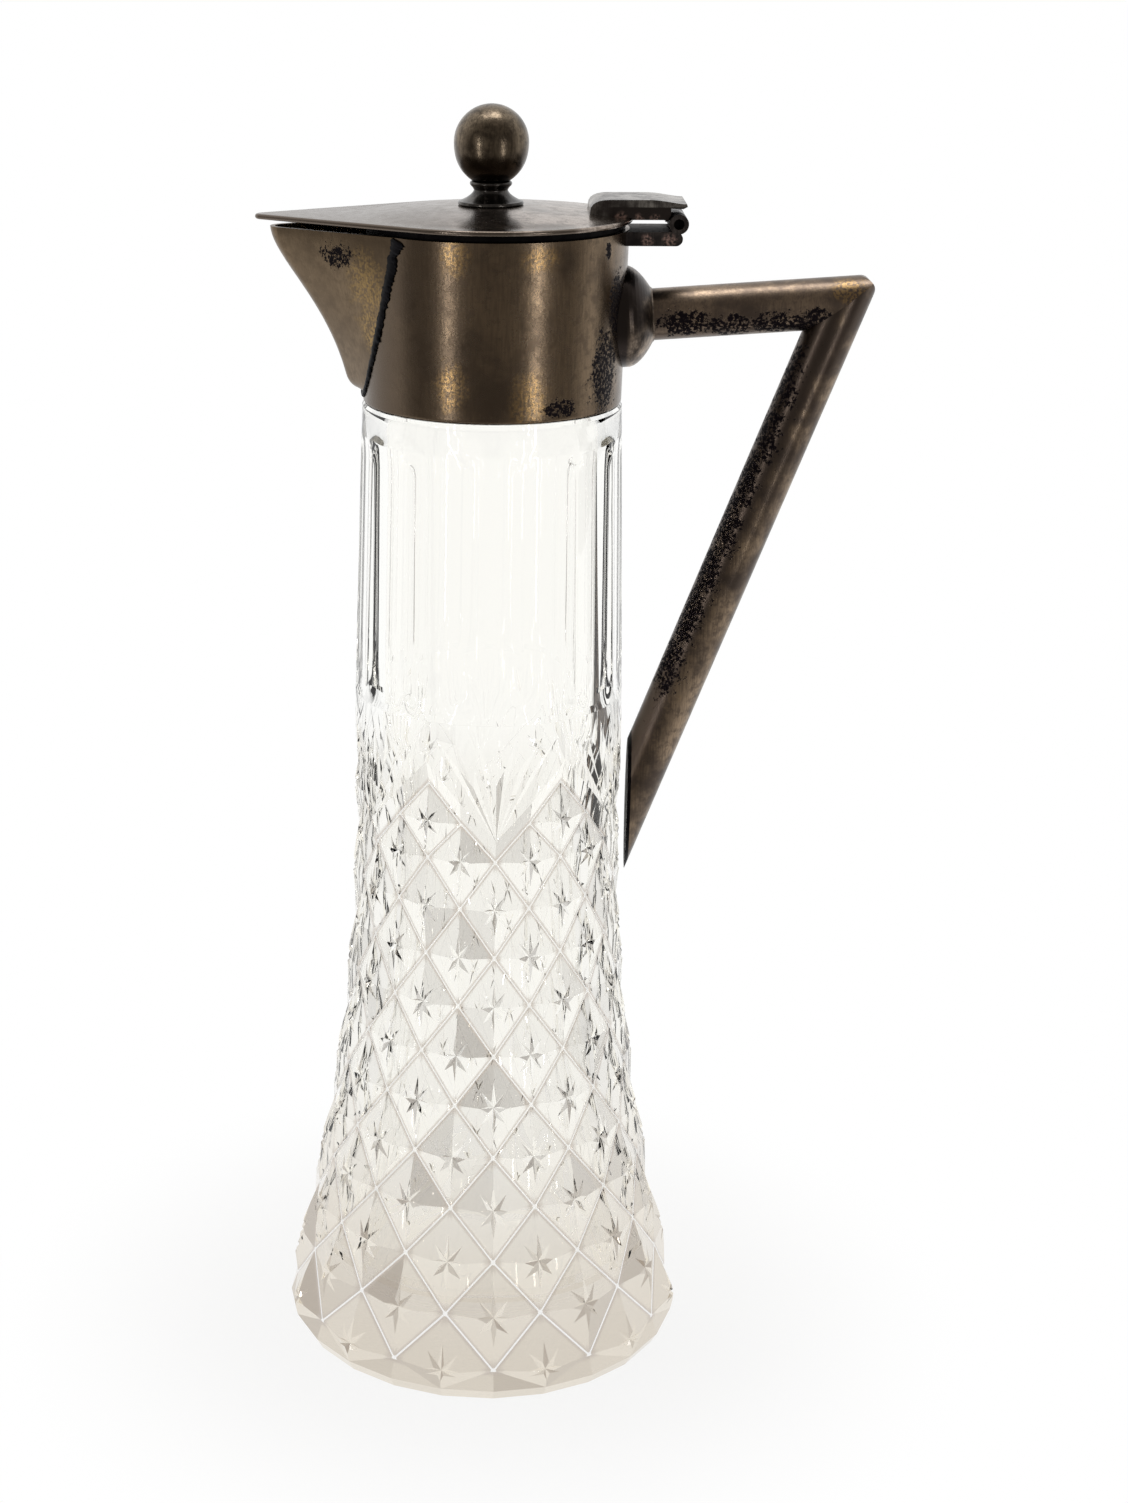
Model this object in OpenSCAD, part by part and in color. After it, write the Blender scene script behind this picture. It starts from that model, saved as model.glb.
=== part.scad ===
// Claret jug: a cut glass body with a plated metal collar, beaked spout,
// angular tube handle and a hinged lid with a ball finial.
// The origin is the centre of the base, +Z is up, the spout points along -X
// and the handle and the hinge lie along +X.

/* [Glass] */
// Height of the glass shoulder that the collar stands on
shoulder_h = 238; // [225:1:250]
// Radius of the flat foot that stands on the table
foot_r = 48.2; // [45:0.1:49]
// Radius of the sharp edge just above the foot
foot_edge_r = 50; // [49:0.1:51]
// Height of that edge
foot_edge_h = 3; // [2:0.1:4]
// Radius over the points of the lowest diamonds
wide_r = 50.9; // [50:0.1:54]
// Radius at the waist, where the diamonds end
waist_r = 33.1; // [32:0.1:35]
// How quickly the body spreads below the waist
spread = 1.87; // [1.6:0.01:2.2]
// Diamonds round the body
column_count = 12; // [12:2:18]
// Upright flutes round the neck
flute_count = 14; // [12:1:20]
// Turn of the diamonds about the jug's axis
pattern_turn = -86.2; // [-120:0.1:-60]
// Turn of the flutes about the jug's axis
flute_turn = -89; // [-120:0.1:-60]
// Half rows of diamonds from the waist to the foot
row_count = 10; // [10:2:10]
// Height of the V points at the top of the diamonds
lattice_top = 134.6; // [133:0.1:140]
// Height of the first half row
row_first = 12; // [11:0.05:12.1]
// Growth of each half row over the one above
row_growth = 0.15; // [0.1:0.01:0.17]
// Depth of the cuts between the widest diamonds
cut_depth = 2.7; // [1.5:0.1:3.2]
// Depth of the star in the middle of each diamond
star_sink = 1.6; // [0.5:0.1:2]
// Height of the fans above the V points
fan_h = 31; // [28:0.5:36]
// Depth of the upright flutes
flute_depth = 1; // [0.5:0.1:1.5]
// Plain glass left between the flutes and the shoulder
plain_h = 5; // [3:0.5:10]
// Wall of the body under the points of the diamonds
body_wall = 7; // [6:0.1:8]
// Wall of the neck
neck_wall = 4.7; // [4:0.1:5.5]
// Thickness of the bottom
bottom_t = 14; // [10:0.5:20]
// Height of the glass rim above the shoulder, inside the collar
rim_h = 24; // [16:1:30]
// Wall of the glass rim
rim_wall = 3.6; // [3:0.1:4.5]

/* [Collar] */
// Outer radius of the collar at its lower edge
collar_r = 30; // [28:0.1:31]
// Height of the collar
collar_h = 40; // [36:0.5:44]
// How much wider the collar is at its top
collar_flare = 0.8; // [0.4:0.1:1.2]
// Sheet of the collar
collar_wall = 1.2; // [0.9:0.1:1.6]
// Radius of the turned lower edge
collar_round = 0.9; // [0.5:0.1:1.1]
// How far the glass shoulder stands out past the collar
neck_ledge = 0.2; // [0.1:0.1:1]
// Thickness of the plaster between glass and collar
plaster_t = 1.8; // [1.2:0.1:2.5]

/* [Spout] */
// Reach of the spout's tip from the jug's axis
spout_reach = 51; // [46:0.5:56]
// Depth of the spout down the collar
spout_drop = 37.4; // [30:0.1:37.8]
// Half the angle that the spout takes of the collar's rim
spout_angle = 44; // [38:0.5:46]
// Radius of the spout's keel
keel_r = 4.4; // [3.5:0.1:5]
// Sheet of the spout
spout_wall = 1.1; // [0.8:0.1:1.4]

/* [Handle] */
// Diameter of the handle's tubes
tube_d = 11.8; // [10:0.1:13]
// Wall of the tubes
tube_wall = 1; // [0.7:0.1:1.5]
// Height of the arm's centre line over the collar's lower edge
arm_h = 20.2; // [18:0.1:24]
// Rise of the upper arm, in degrees
arm_rise = 4; // [0:0.5:6]
// Distance of the handle's corner from the jug's axis
corner_x = 79.9; // [72:0.1:88]
// Lean of the lower arm from upright, in degrees
grip_lean = 20.5; // [16:0.5:22]
// Rounding of the mitred corner
corner_round = 3.6; // [1.5:0.1:4]
// Distance of the lower arm's cut end from the jug's axis
end_x = 34; // [33.8:0.1:37]
// Thickness of the plate that closes the lower arm
end_plate_t = 0.8; // [0.5:0.1:1.5]
// Radius of the boss on the collar
boss_r = 11.6; // [10:0.1:13]
// Distance of the boss's outer face from the jug's axis
boss_x = 36.7; // [35:0.1:39]

/* [Hinge] */
// Distance of the hinge pin from the jug's axis
pin_x = 41.5; // [40:0.1:43]
// Height of the pin over the collar's rim
pin_rise = 1.5; // [1.2:0.1:1.9]
// Radius of the pin
pin_r = 1.2; // [0.8:0.1:1.4]
// Depth that the pin's ends lie below the knuckles' ends
pin_recess = 1.5; // [0.3:0.1:2]
// Radius of the knuckles
knuckle_r = 2.2; // [2:0.1:2.4]
// Width of the hinge
hinge_w = 16; // [12:0.5:20]
// Width of the middle knuckle
middle_w = 6; // [4:0.5:7]
// Thickness of the lower leaf
leaf_t = 3.1; // [2.4:0.1:3.6]
// Running clearance round the pin
pin_fit = 0.06; // [0.03:0.01:0.1]
// Clearance between the two leaves
leaf_gap = 0.35; // [0.3:0.05:0.5]

/* [Lid] */
// Clearance between the lid's bezel and the collar's rim
lid_gap = 0.3; // [0.3:0.05:0.5]
// Height of the bezel's shoulder
bezel_h = 1.2; // [0.8:0.1:2]
// Depth of the bezel inside the collar
spigot_h = 3.2; // [2:0.1:4]
// Clearance between the bezel and the collar's bore
spigot_gap = 0.45; // [0.4:0.05:0.8]
// Sheet of the bezel
bezel_wall = 1.1; // [0.8:0.1:1.6]
// Sheet of the lid
lid_t = 1.2; // [0.9:0.1:1.6]
// Overhang of the lid past the collar's rim
lid_over = 0.8; // [0.4:0.1:1.5]
// Height of the dome over the lid's flat rim
dome_h = 2.3; // [1.5:0.1:4]
// Flat border between the dome and the lid's edge
lid_border = 1.5; // [1:0.1:3]
// Overhang of the lid's tongue past the spout's tip
tongue_over = 3.6; // [2:0.1:6]
// Radius of the tongue's tip
tongue_r = 2.6; // [2:0.1:4]
// Height of the strap's top over the lid's rim
strap_h = 4.2; // [3.6:0.1:5]
// Distance of the strap's front from the jug's axis
strap_x = 21.5; // [18:0.5:24]
// Thickness of the strap
strap_t = 1.6; // [1.2:0.1:2]
// Width of the block that carries the strap
block_w = 13; // [10:0.5:15]

/* [Finial] */
// Place of the finial along the lid, from the jug's axis
finial_x = -0.8; // [-3:0.1:3]
// Radius of the ball
ball_r = 8.5; // [7:0.1:10]
// Height of the spool under the ball
spool_h = 6.2; // [5:0.1:9]
// Radius of the spool's foot
spool_foot_r = 7.5; // [6:0.1:9]
// Radius of the spool's waist
spool_waist_r = 3.9; // [3.2:0.1:4.5]
// Radius of the ring between spool and ball
ring_r = 4.8; // [4.6:0.1:5.5]
// Radius of the threaded stud
stud_r = 1.6; // [1.2:0.1:2]
// Height of the nut under the lid
nut_h = 2.4; // [2:0.1:3.2]
// Radius over the corners of the nut
nut_r = 3.8; // [3.4:0.1:4.5]

/* [Hidden] */
$fn = 96;
slack = 0.01;

// Colours
glass_c = [0.86, 0.85, 0.80, 0.45];
silver_c = [0.50, 0.45, 0.36];
dark_c = [0.16, 0.15, 0.14];
plaster_c = [0.82, 0.80, 0.74];

// Glass heights and radii
neck_r = collar_r + neck_ledge;
glass_rim_r = collar_r - collar_wall - plaster_t;
rim_top = shoulder_h + rim_h;
fan_top = lattice_top + fan_h;
flute_top = shoulder_h - plain_h;
half_step = 180 / column_count;
// Height of a V's arm over one column, as a share of the first half row
v_share = 0.77;
lattice_columns = 2 * column_count;
flute_columns = 4 * flute_count;
flute_step = 360 / flute_columns;

// Height of half row k, counted down from the V points
function row_z(k) = lattice_top - k * row_first - row_growth * k * (k - 1) / 2;
lowest_row = row_z(row_count);
v_row = row_first * v_share;

// Radius over the points of the cutting at a height
function envelope(z) = z > lattice_top
    ? neck_r + (waist_r - neck_r) * (shoulder_h - z) / (shoulder_h - lattice_top)
    : waist_r + (wide_r - waist_r)
        * pow((lattice_top - z) / (lattice_top - lowest_row), spread);
function valley(z) = envelope(z) * (1 - cut_depth / wide_r);
function ring_point(r, a, z) = [r * cos(a), r * sin(a), z];

// Collar radii at a height
rim_z = shoulder_h + collar_h;
function collar_out(z) = collar_r + collar_flare * (z - shoulder_h) / collar_h;
function collar_in(z) = collar_out(z) - collar_wall;
collar_top_r = collar_r + collar_flare;

// Lid heights
lid_under = rim_z + lid_gap + bezel_h;
lid_top = lid_under + lid_t;
dome_top = lid_top + dome_h;
lid_r = collar_top_r + lid_over;
dome_r = lid_r - lid_border;
dome_ball = (dome_r * dome_r + dome_h * dome_h) / (2 * dome_h);
dome_steps = 14;
lid_steps = 88;
tip_steps = 10;
tongue_x = spout_reach + tongue_over;

// Hinge places
pin_z = rim_z + pin_rise;
leaf_top = rim_z - 0.2;
leaf_end = pin_x - 0.6;

// Handle places
tube_r = tube_d / 2;
arm_z = shoulder_h + arm_h;
corner_z = arm_z + (corner_x - boss_x) * tan(arm_rise);

// Smooth curve through four control points
function bezier(p, t) = pow(1 - t, 3) * p[0] + 3 * t * pow(1 - t, 2) * p[1]
    + 3 * t * t * (1 - t) * p[2] + pow(t, 3) * p[3];
function curve(p, n) = [for (i = [0:n]) bezier(p, i / n)];

// ---------------------------------------------------------------- glass

// Columns on even half steps and rows with the same parity hold the valleys
// where the cuts cross; the others hold the points of the diamonds.
function is_valley(c, k) = (c + k) % 2 == 0;
// The fans take every fourth column above the V points
function in_fan(c, k) = (k == 1 && c % 4 == 0) || (k == 2 && c % 4 != 2);

// Place of column c on half row k; the V points' own rows have k of -1 and -2,
// and row_count + 1 is the sharp edge over the foot
function on_body(c, k, r) = ring_point(r, c * half_step + pattern_turn, half_row_z(k));
function half_row_z(k) = k > row_count ? foot_edge_h
    : k < 0 ? lattice_top - k * v_row : row_z(k);
function corner(c, k) = on_body(c, k, k > row_count ? foot_edge_r : valley(half_row_z(k)));

// Each diamond has a star of eight rays sunk in its middle
function has_star(c, k) = !is_valley(c, abs(k)) && k <= row_count
    && (k >= 0 || (k == -1 && !in_fan(c, 1)));
function lattice_row(k) = [for (c = [0:lattice_columns - 1])
    let (z = row_z(k))
    on_body(c, k, is_valley(c, k) ? valley(z) : envelope(z) - star_sink)];
function v_ring(k) = [for (c = [0:lattice_columns - 1])
    let (z = half_row_z(-k))
    on_body(c, -k, is_valley(c, k) && !in_fan(c, k) ? valley(z)
        : has_star(c, -k) ? envelope(z) - star_sink : envelope(z))];
// Reach of the star's points along a quarter of it, from a side ray to an
// upright ray, as shares of the diamond
star_reach = [0.34, 0.16, 0.44, 0.16, 0.52, 0.16, 0.44, 0.16];
star_points = 2 * len(star_reach);
function star_rim(c, k) =
    let (middle = on_body(c, k, envelope(half_row_z(k))))
    [for (i = [0:star_points - 1])
        let (a = i * 360 / star_points, reach = star_reach[i % len(star_reach)],
            side = corner(c + (cos(a) > 0 ? 1 : -1), k),
            end = corner(c, k + (sin(a) > 0 ? -1 : 1)))
        middle + abs(reach * cos(a)) * (side - middle) + abs(reach * sin(a)) * (end - middle)];
star_rims = concat(
    [for (k = [0:row_count]) for (c = [0:lattice_columns - 1])
        if (has_star(c, k)) each star_rim(c, k)],
    [for (c = [0:lattice_columns - 1]) if (has_star(c, -1)) each star_rim(c, -1)]);
function wide_ring(r, z) = [for (c = [0:lattice_columns - 1])
    ring_point(r, c * half_step + pattern_turn, z)];
function fine_ring(r, z) = [for (c = [0:flute_columns - 1])
    ring_point(r, c * flute_step + flute_turn, z)];
// Depth of a flute at its middle, its sides and the ridge between two flutes
flute_share = [1, 0.75, 0, 0.75];
function flute_ring(z) = [for (c = [0:flute_columns - 1])
    ring_point(envelope(z) - flute_depth * flute_share[c % 4],
        c * flute_step + flute_turn, z)];

// Rows of the outer surface from the foot to the rim
wide_rows = concat(
    [wide_ring(foot_r, 0), wide_ring(foot_edge_r, foot_edge_h)],
    [for (k = [row_count:-1:0]) lattice_row(k)],
    [v_ring(1), v_ring(2),
     wide_ring(envelope(fan_top - 2), fan_top - 2)]);
fine_rows = [flute_ring(fan_top + 2),
    flute_ring((fan_top + flute_top) / 2),
    flute_ring(flute_top - 3),
    fine_ring(envelope(flute_top), flute_top),
    fine_ring(neck_r, shoulder_h),
    fine_ring(glass_rim_r, shoulder_h),
    fine_ring(glass_rim_r, rim_top)];

plain_points = concat([for (row = wide_rows) each row],
    [for (row = fine_rows) each row]);
glass_points = concat(plain_points, star_rims);
wide_total = len(wide_rows) * lattice_columns;
// First point of the star at column c and half row k
function star_start(c, k) = len(plain_points) + star_points
    * (k < 0 ? (row_count + 1) * column_count + floor(c / 4)
        : k * column_count + floor(c / 2));

// A quarter of a diamond between its middle and two corners, which come in the
// face's own order. first is the star's point next to corner one, and step leads
// from it to corner two.
function quarter(middle, one, two, c, k, first, step) =
    !has_star(c, k) ? [[middle, one, two]] :
    let (start = star_start(c, k),
        p = [for (i = [0:4]) start + (first + i * step + star_points) % star_points])
    concat([for (i = [0:3]) [middle, p[i], p[i + 1]]],
        [[one, two, p[2]], [one, p[2], p[1]], [one, p[1], p[0]],
         [two, p[4], p[3]], [two, p[3], p[2]]]);

// Two quarters for each cell, split along the cut from valley to valley.
// The second row up is diamond row row_count, so parity follows the row's place.
function cell_faces(row, c) =
    let (n = lattice_columns, d = (c + 1) % n, a = row * n + c, b = row * n + d,
        e = a + n, f = b + n, k = row_count + 2 - row)
    is_valley(c, row)
        ? concat(quarter(e, f, a, c, k - 1, 0, -1), quarter(b, a, f, d, k, 8, -1))
        : concat(quarter(a, e, b, c, k, 4, -1), quarter(f, b, e, d, k - 1, 12, -1));
function fine_faces(row) =
    let (n = flute_columns, start = wide_total + row * n)
    [for (c = [0:n - 1])
        let (a = start + c, b = start + (c + 1) % n)
        each [[a, a + n, b + n], [a, b + n, b]]];
// Joins the last wide ring to the first fine one, whose columns don't line up:
// each edge of either ring takes the vertex of the other that lies before it.
join_turn = (pattern_turn - flute_turn) / 360;
function join_faces() =
    let (n = lattice_columns, m = flute_columns, start = wide_total - n,
        shift = join_turn * m)
    concat(
        [for (c = [0:n - 1])
            let (apex = ceil((c + 0.5) * m / n + shift - 0.5))
            [start + c, wide_total + (apex + m) % m, start + (c + 1) % n]],
        [for (c = [0:m - 1])
            let (apex = floor((c + 0.5 - shift) * n / m + 0.5))
            [start + (apex + n) % n, wide_total + c, wide_total + (c + 1) % m]]);
glass_faces = concat(
    [[for (c = [0:lattice_columns - 1]) c]],
    [for (row = [0:len(wide_rows) - 2]) for (c = [0:lattice_columns - 1])
        each cell_faces(row, c)],
    join_faces(),
    [for (row = [0:len(fine_rows) - 2]) each fine_faces(row)],
    [[for (c = [flute_columns - 1:-1:0])
        wide_total + (len(fine_rows) - 1) * flute_columns + c]]);

// Hollow of the glass: a rounded bottom, then one wall inside the cutting
bowl_round = 12;
bowl_r = envelope(bottom_t + bowl_round) - body_wall;
hollow_steps = 9;
function hollow_wall(z) = body_wall
    + (neck_wall - body_wall) * max(0, z - lattice_top) / (shoulder_h - lattice_top);
hollow_profile = concat(
    [[0, bottom_t]],
    [for (a = [0:15:75]) [bowl_r - bowl_round * (1 - sin(a)),
        bottom_t + bowl_round * (1 - cos(a))]],
    [for (i = [0:hollow_steps])
        let (z = bottom_t + bowl_round
            + i * (shoulder_h - 8 - bottom_t - bowl_round) / hollow_steps)
        [envelope(z) - hollow_wall(z), z]],
    [[glass_rim_r - rim_wall, shoulder_h],
     [glass_rim_r - rim_wall, rim_top + 1],
     [0, rim_top + 1]]);

module glass_body() {
    color(glass_c)
    difference() {
        polyhedron(glass_points, glass_faces, convexity = 8);
        rotate_extrude() polygon(hollow_profile);
    }
}

// ---------------------------------------------------------------- collar

// Plaster holds the glass rim in the collar
module plaster_bed() {
    low = shoulder_h + collar_round + 0.6;
    high = rim_top - 1;
    color(plaster_c)
    rotate_extrude()
    polygon([[glass_rim_r, low], [collar_in(low), low],
        [collar_in(high), high], [glass_rim_r, high]]);
}

// The solid that the collar would be without its bore
module collar_cone(low, high) {
    translate([0, 0, low])
    cylinder(r1 = collar_out(low), r2 = collar_out(high), h = high - low);
}

module collar_band() {
    turned = [for (a = [0:15:90])
        [collar_r - collar_round * (1 - sin(a)),
         shoulder_h + collar_round * (1 - cos(a))]];
    color(silver_c)
    difference() {
        rotate_extrude()
        polygon(concat([[collar_r - collar_wall, shoulder_h]], turned,
            [[collar_top_r, rim_z], [collar_top_r - collar_wall, rim_z]]));
        spout_form(spout_wall, 1);
    }
}

// ---------------------------------------------------------------- spout

// Reach of the keel, as shares of the spout's reach and depth
keel_curve = [[1, 0], [0.98, 0.19], [0.40, 0.44], [0.19, 0.90]];
keel_foot = [[0.19, 0.90], [0.16, 0.965], [0.10, 0.99], [-0.03, 1.0]];
keel_line = concat(curve(keel_curve, 9), [for (i = [1:4]) bezier(keel_foot, i / 4)]);
spout_sides = 6;
flank_steps = 4;
// How far the form runs back inside the collar, as a share of its radius
spout_root = 0.45;

// Half width of the spout where it meets the collar
function spout_half(share, r) = r * sin(spout_angle) * pow(1.02 - share[1], 0.38);
// How far the spout's foot stands off the collar
foot_lip = 0.3;
// Room for the solder between spout and collar
solder_gap = 0.08;

// One level of the spout: sides that run straight from the collar to a round
// keel. The sheet is taken off inwards for the channel.
function spout_level(share, inset, lift) =
    let (z = rim_z - share[1] * spout_drop + lift,
        r = collar_out(min(z, rim_z)),
        nose = r + share[0] * (spout_reach - collar_top_r),
        half = spout_half(share, r),
        px = max(-sqrt(r * r - half * half), 0.12 * half - nose),
        cx = keel_r - nose,
        turn = atan2(half, px - cx) + acos(keel_r / norm([px - cx, half])),
        k = keel_r - inset,
        side = concat(
            [[-spout_root * r, half - inset],
             [px - inset * cos(turn), half - inset * sin(turn)]],
            [for (i = [0:spout_sides]) let (a = turn + i * (180 - turn) / spout_sides)
                [cx + k * cos(a), k * sin(a)]]))
    concat([for (p = side) [p[0], p[1], z]],
        [for (i = [len(side) - 2:-1:0]) [side[i][0], -side[i][1], z]]);

// Loft through the levels, from the rim down to the keel's foot
module spout_form(inset, over) {
    rise = inset == 0 ? 0 : inset * 1.6;
    last = len(keel_line) - 1;
    levels = concat(
        [spout_level(keel_line[0], inset, over)],
        [for (i = [1:last]) spout_level(keel_line[i], inset, rise * keel_line[i][1])]);
    n = len(levels[0]);
    polyhedron([for (level = levels) each level],
        concat(
            [[for (i = [n - 1:-1:0]) i]],
            [for (k = [0:len(levels) - 2]) for (i = [0:n - 1])
                let (a = k * n + i, b = k * n + (i + 1) % n)
                each [[a, b + n, a + n], [a, b, b + n]]],
            [[for (i = [0:n - 1]) (len(levels) - 1) * n + i]]),
        convexity = 6);
}

// One level of the spout's sheet: out along one side, round the keel and back
// along the other, then the same inside. Nothing of it lies inside the collar.
function mirrored(side) = [for (i = [len(side) - 2:-1:0]) [side[i][0], -side[i][1]]];
function outside_collar(p, r) = norm(p) < r ? p * r / norm(p) : p;
function keel_arc(cx, k, turn) = [for (i = [0:spout_sides])
    let (a = turn + i * (180 - turn) / spout_sides) [cx + k * cos(a), k * sin(a)]];
function flank_and_keel(p, arc) = concat(
    [for (i = [0:flank_steps - 1]) p + (arc[0] - p) * i / flank_steps], arc);
function sheet_level(share) =
    let (z = rim_z - share[1] * spout_drop,
        r = collar_out(z) + solder_gap,
        nose = r + max(foot_lip, share[0] * (spout_reach - collar_top_r)),
        half = spout_half(share, r),
        px = max(-sqrt(r * r - half * half), 0.12 * half - nose),
        cx = keel_r - nose,
        turn = atan2(half, px - cx) + acos(keel_r / norm([px - cx, half])),
        start = [px, half] - spout_wall * [cos(turn), sin(turn)],
        along = [sin(turn), -cos(turn)],
        back = start * along,
        run = back + sqrt(max(0, back * back + r * r - start * start)),
        outer = flank_and_keel([px, half], keel_arc(cx, keel_r, turn)),
        inner = flank_and_keel(start - run * along, keel_arc(cx, keel_r - spout_wall, turn)),
        out_side = [for (p = outer) outside_collar(p, r + slack)],
        in_side = [for (p = inner) outside_collar(p, r)],
        in_loop = concat(in_side, mirrored(in_side)))
    [for (p = concat(out_side, mirrored(out_side), [for (i = [len(in_loop) - 1:-1:0]) in_loop[i]]))
        [p[0], p[1], z]];

module spout() {
    levels = [for (share = keel_line) sheet_level(share)];
    n = len(levels[0]);
    last = n * (len(levels) - 1);
    color(silver_c)
    polyhedron([for (level = levels) each level],
        concat(
            [for (i = [0:n / 2 - 2]) each [[i, n - 1 - i, n - 2 - i], [i, n - 2 - i, i + 1]]],
            [for (k = [0:len(levels) - 2]) for (i = [0:n - 1])
                let (a = k * n + i, b = k * n + (i + 1) % n)
                each [[a, b + n, a + n], [a, b, b + n]]],
            [for (i = [0:n / 2 - 2]) each [[last + i, last + n - 2 - i, last + n - 1 - i],
                [last + i, last + i + 1, last + n - 2 - i]]]),
        convexity = 6);
}

// ---------------------------------------------------------------- handle

// Outline of the boss: a low dome that ends round the arm
boss_h = 6;
boss_root = 4;
function boss_profile() = concat(
    [[0, -boss_root], [boss_r, -boss_root]],
    curve([[boss_r, 0.2], [boss_r - 0.5, 0.45 * boss_h], [tube_r + 2.4, 0.75 * boss_h],
        [tube_r + 0.4, boss_h - 0.3]], 8),
    [[tube_r + 0.2, boss_h], [0, boss_h]]);

// Places a shape's own axis along the upper arm, starting at the boss's face
module along_arm() {
    translate([boss_x, 0, arm_z])
    rotate([0, 90 - arm_rise, 0])
    children();
}

// Places a shape's own axis down the lower arm, starting at the corner
module along_grip() {
    translate([corner_x, 0, corner_z])
    rotate([0, 180 + grip_lean, 0])
    children();
}

module handle_boss() {
    color(silver_c)
    difference() {
        along_arm() translate([0, 0, -boss_h]) rotate_extrude() polygon(boss_profile());
        collar_cone(shoulder_h, rim_z);
    }
}

// Half the angle between the two arms
mitre = (90 - arm_rise - grip_lean) / 2;
arm_reach = (corner_x - boss_x) / cos(arm_rise);
grip_reach = (corner_x - end_x + tube_d) / sin(grip_lean);
sharp = tube_r / sin(mitre);
// Length that the tubes run on before they are cut
spare = tube_d;
// Side of the blocks that cut the tubes, well past the whole handle
block = 4 * corner_x;

// Rounds the outer point of the mitre, as seen from the side
module corner_cut() {
    translate([corner_x, 0, corner_z])
    rotate([90, 0, 0])
    rotate([0, 0, mitre + arm_rise])
    linear_extrude(height = tube_d * 2, center = true)
    difference() {
        translate([sharp - corner_round / sin(mitre) + corner_round * sin(mitre), -tube_d])
        square([tube_d, 2 * tube_d]);
        translate([sharp - corner_round / sin(mitre), 0])
        circle(r = corner_round);
    }
}

// Keeps the side of the mitre plane that the upper arm lies on
module upper_side() {
    translate([corner_x, 0, corner_z])
    rotate([0, -(mitre + arm_rise), 0])
    translate([-block / 2, -block / 2, 0])
    cube(block);
}

module lower_side() {
    translate([corner_x, 0, corner_z])
    rotate([0, -(mitre + arm_rise), 0])
    translate([-block / 2, -block / 2, -block])
    cube(block);
}

module handle_upper_arm() {
    color(silver_c)
    difference() {
        along_arm() cylinder(r = tube_r, h = arm_reach + sharp + spare);
        along_arm() translate([0, 0, -spare])
        cylinder(r = tube_r - tube_wall, h = arm_reach + sharp + 3 * spare);
        lower_side();
        corner_cut();
    }
}

module handle_lower_arm() {
    color(silver_c)
    difference() {
        along_grip() translate([0, 0, -sharp - spare])
        cylinder(r = tube_r, h = sharp + spare + grip_reach);
        along_grip() translate([0, 0, -sharp - 2 * spare])
        cylinder(r = tube_r - tube_wall, h = sharp + 3 * spare + grip_reach);
        upper_side();
        corner_cut();
        translate([end_x + end_plate_t - block, -block / 2, 0]) cube([block, block, shoulder_h]);
    }
}

// Oval plate that closes the slanting cut of the lower arm
module handle_end_plate() {
    color(dark_c)
    intersection() {
        along_grip() cylinder(r = tube_r, h = grip_reach);
        translate([end_x, -block / 2, 0]) cube([end_plate_t, block, shoulder_h]);
    }
}

// ---------------------------------------------------------------- hinge

// A round bar along the hinge, centred on the pin
module hinge_bar(r, w) {
    translate([pin_x, 0, pin_z])
    rotate([90, 0, 0])
    cylinder(r = r, h = w, center = true);
}

module hinge_collar_leaf() {
    foot = leaf_top - leaf_t;
    color(silver_c)
    difference() {
        union() {
            translate([0, -hinge_w / 2, foot]) cube([leaf_end, hinge_w, leaf_t]);
            translate([leaf_end, 0, leaf_top - leaf_t / 2])
            rotate([90, 0, 0])
            cylinder(r = leaf_t / 2, h = hinge_w, center = true);
            hinge_bar(knuckle_r, hinge_w);
        }
        collar_cone(shoulder_h, rim_z + slack);
        translate([-collar_r, -hinge_w, foot - 1]) cube([collar_r, 2 * hinge_w, leaf_t + 2]);
        hinge_bar(knuckle_r + leaf_gap, middle_w + 2 * leaf_gap);
        hinge_bar(pin_r, hinge_w + 2);
    }
}

module hinge_pin() {
    color(dark_c) hinge_bar(pin_r, hinge_w - 2 * pin_recess);
}

// Height of the dome's outside at a distance from its middle
function dome_z(r) = dome_top - dome_ball + sqrt(dome_ball * dome_ball - r * r);

// The dome down to a given depth under its own surface
module dome_solid(sink, radius, floor_z) {
    rotate_extrude()
    polygon(concat([[0, floor_z], [radius, floor_z]],
        [for (i = [dome_steps:-1:0]) [radius * i / dome_steps,
            dome_z(radius * i / dome_steps) - sink]]));
}
module dome_outside() {
    dome_solid(0, dome_r, lid_under);
}

// The lid seen from above: a disc drawn out to a tongue
module lid_outline() {
    tip_x = tongue_x - tongue_r;
    touch = acos((lid_r - tongue_r) / tip_x);
    polygon(concat(
        [for (i = [0:lid_steps]) let (a = 180 - touch - i * (360 - 2 * touch) / lid_steps)
            [lid_r * cos(a), lid_r * sin(a)]],
        [for (i = [0:tip_steps]) let (a = 180 + touch - i * 2 * touch / tip_steps)
            [tongue_r * cos(a) - tip_x, tongue_r * sin(a)]]));
}

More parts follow.
